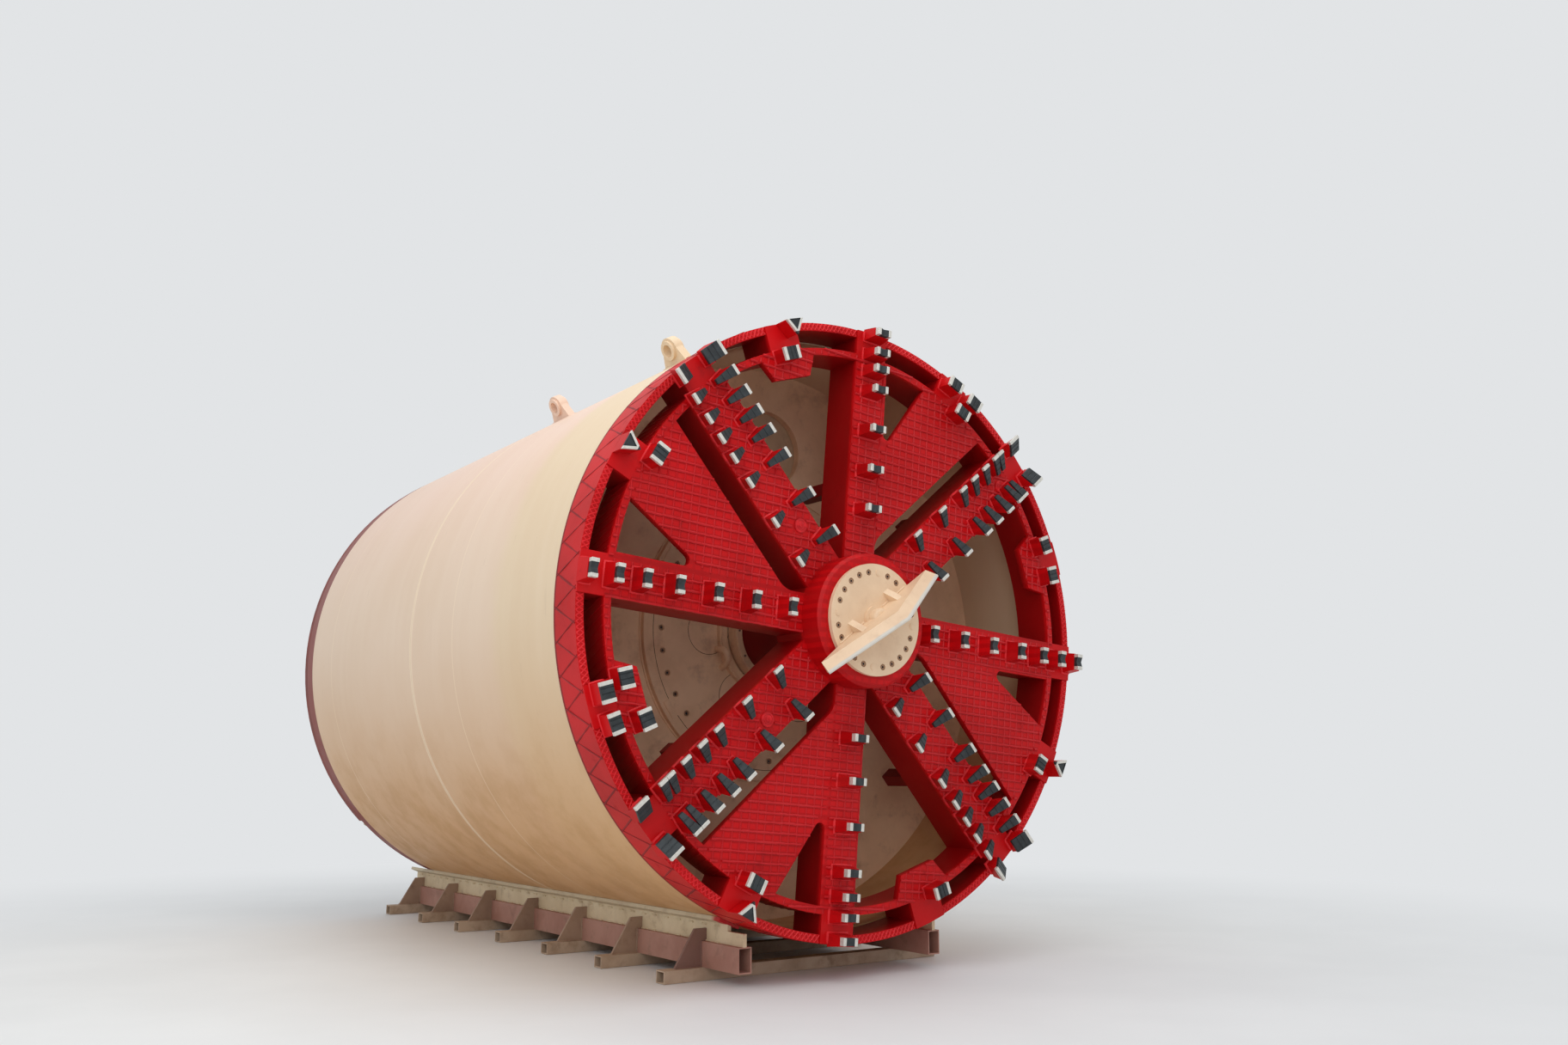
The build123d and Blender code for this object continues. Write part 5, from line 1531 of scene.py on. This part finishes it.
# %% Welds of the cradle
CRADLE_R, CRADLE_TURN = 2.0928, radians(22)
rail_x = CRADLE_R * sin(CRADLE_TURN)
web_foot = 0.2405
seat_foot = AXIS_Z - CRADLE_R * cos(CRADLE_TURN) - 0.022
STITCH_S = round(SEAT_S + 0.09, 4)
stitches = []
for side in (-1, 1):
    for face in (-1, 1):
        x = side * rail_x + face * 0.0145
        for i in range(34):
            y = FACE_Y + STITCH_S + 0.16 * i + chance.uniform(-0.01, 0.01)
            for z in (web_foot + 0.002, seat_foot - 0.004):
                stitches.append([Vector((x, y + 0.012 * k, z)) for k in range(6)])
beads("cradle_stitches", stitches, 0.006, web_beige, "root")

CROSS_START, CROSS_PITCH = 0.59, 0.845
gusset_runs = []
for i in range(7):
    for side in (-1, 1):
        for face in (-0.012, 0.012):
            s = CROSS_START + CROSS_PITCH * i + face
            gusset_runs.append([spot(side * (rail_x + 0.05 + 0.04 * k), 0.0815 - AXIS_Z, s)
                                for k in range(6)])
            gusset_runs.append([spot(side * (rail_x + 0.052), 0.09 + 0.03 * k - AXIS_Z, s)
                                for k in range(6)])
beads("gusset_welds", gusset_runs, 0.006, gusset_beige, "root")

# %% [markdown]
# A maroon band lies round the tail, down to where the open channel starts on
# both sides. Its section is one small face, and a spin sweeps it round the
# axis. Two small stops close the channel's ends.

# %% Tail band and stops
BAND_OUT, BAND_IN = SHELL_R - 0.003, 2.0605
BAND_S, BAND_WIDE = 5.459, 0.084
start()
bpy.ops.mesh.primitive_plane_add(size=1)
tail_band = bpy.context.object
for vertex in tail_band.data.vertices:
    x, y = vertex.co.x + 0.5, vertex.co.y + 0.5
    corner = on_shell(BAND_S + BAND_WIDE * y, -90 + CHANNEL, BAND_IN + (BAND_OUT - BAND_IN) * x)
    vertex.co = corner.translation
edit_all()
bpy.ops.mesh.spin(steps=90, angle=radians(360 - 2 * CHANNEL), center=(0, 0, AXIS_Z), axis=(0, 1, 0))
edit_all()
bpy.ops.mesh.remove_doubles(threshold=0.0001)
bpy.ops.mesh.normals_make_consistent(inside=False)
object_mode()
tail_band.name = "tail_band"
finish_piece(tail_band, tail_maroon, "root", 30)

stop = stepped(box((0.035, 0.03, 0.05)), [(0.004, 0.003)])
stop_places = [on_shell(5.52, angle, 2.042) for angle in (-134.3, -45.7)]
set_out("tail_stops", stop, stop_places, seat_cream, "root")

# %% [markdown]
# ## Light, floor and camera
# A big soft light hangs above, a weaker one fills from the front, and the sky
# gives the rest. The floor is pale and fades into the backdrop far away.

# %% Light and floor
def lamp(name, place, aim, size, power, color):
    """A soft rectangular light that looks at a point."""
    light = bpy.data.lights.new(name, "AREA")
    light.shape = "RECTANGLE"
    light.size, light.size_y = size
    light.energy = power
    light.color = color
    holder = bpy.data.objects.new(name, light)
    bpy.context.collection.objects.link(holder)
    holder.location = place
    holder.rotation_euler = (Vector(aim) - Vector(place)).to_track_quat("-Z", "Y").to_euler()


lamp("roof_light", (-2.5, -3.0, 9.5), (0, 0, 1.5), (9, 12), 415, (1, 0.985, 0.96))
lamp("front_light", (-7.5, -11.0, 5.5), (0, -1, 2), (6, 5), 170, (0.96, 0.98, 1))

BACKDROP = linear(226, 228, 230)
world = bpy.data.worlds.new("sky")
bpy.context.scene.world = world
world.use_nodes = True
nodes, links = world.node_tree.nodes, world.node_tree.links
nodes.clear()
seen, glow = nodes.new("ShaderNodeBackground"), nodes.new("ShaderNodeBackground")
for sky, color, strength in ((seen, BACKDROP, 1.0), (glow, (0.93, 0.96, 1.0, 1), 0.72)):
    sky.inputs[0].default_value = color
    sky.inputs[1].default_value = strength
path = nodes.new("ShaderNodeLightPath")
blend = nodes.new("ShaderNodeMixShader")
world_output = nodes.new("ShaderNodeOutputWorld")
rays = path.outputs["Is Camera Ray"]
for other in ("Is Glossy Ray", "Is Transmission Ray"):
    either = nodes.new("ShaderNodeMath")
    either.operation = "MAXIMUM"
    links.new(rays, either.inputs[0])
    links.new(path.outputs[other], either.inputs[1])
    rays = either.outputs[0]
links.new(rays, blend.inputs[0])
links.new(glow.outputs[0], blend.inputs[1])
links.new(seen.outputs[0], blend.inputs[2])
links.new(blend.outputs[0], world_output.inputs[0])

start()
bpy.ops.mesh.primitive_circle_add(vertices=96, radius=70, fill_type="NGON", location=(0, 0, -0.002))
floor = bpy.context.object
floor.name = "floor"
bpy.ops.object.transform_apply()
f = Finish("floor")
far = (f.x * f.x + f.y * f.y).root().step(3.6, 10)
tone = f.mix(f.noise(1.6, 4).step(0.3, 0.7), linear(232, 233, 232), linear(227, 228, 227))
ground = f.place.node("ShaderNodeBsdfPrincipled", **{"Base Color": tone, "Roughness": 0.6})
haze = f.place.node("ShaderNodeEmission", Color=BACKDROP, Strength=1.0)
floor.data.materials.append(f.close(f.place.node("ShaderNodeMixShader", in0=far, in1=ground, in2=haze)))

# %% [markdown]
# The camera stands low beside the head. Its place and lens were fitted to the
# circles of the head and the shells in the photo.

# %% Camera
bpy.context.scene.view_settings.view_transform = "Standard"
camera_data = bpy.data.cameras.new("camera")
camera_data.sensor_fit = "HORIZONTAL"
camera_data.lens = 30.186
camera = bpy.data.objects.new("camera", camera_data)
bpy.context.collection.objects.link(camera)
camera.location = (-5.544, -9.6075, 1.3222)
camera.rotation_euler = (radians(100.704), 0, radians(-35.459))
bpy.context.scene.camera = camera
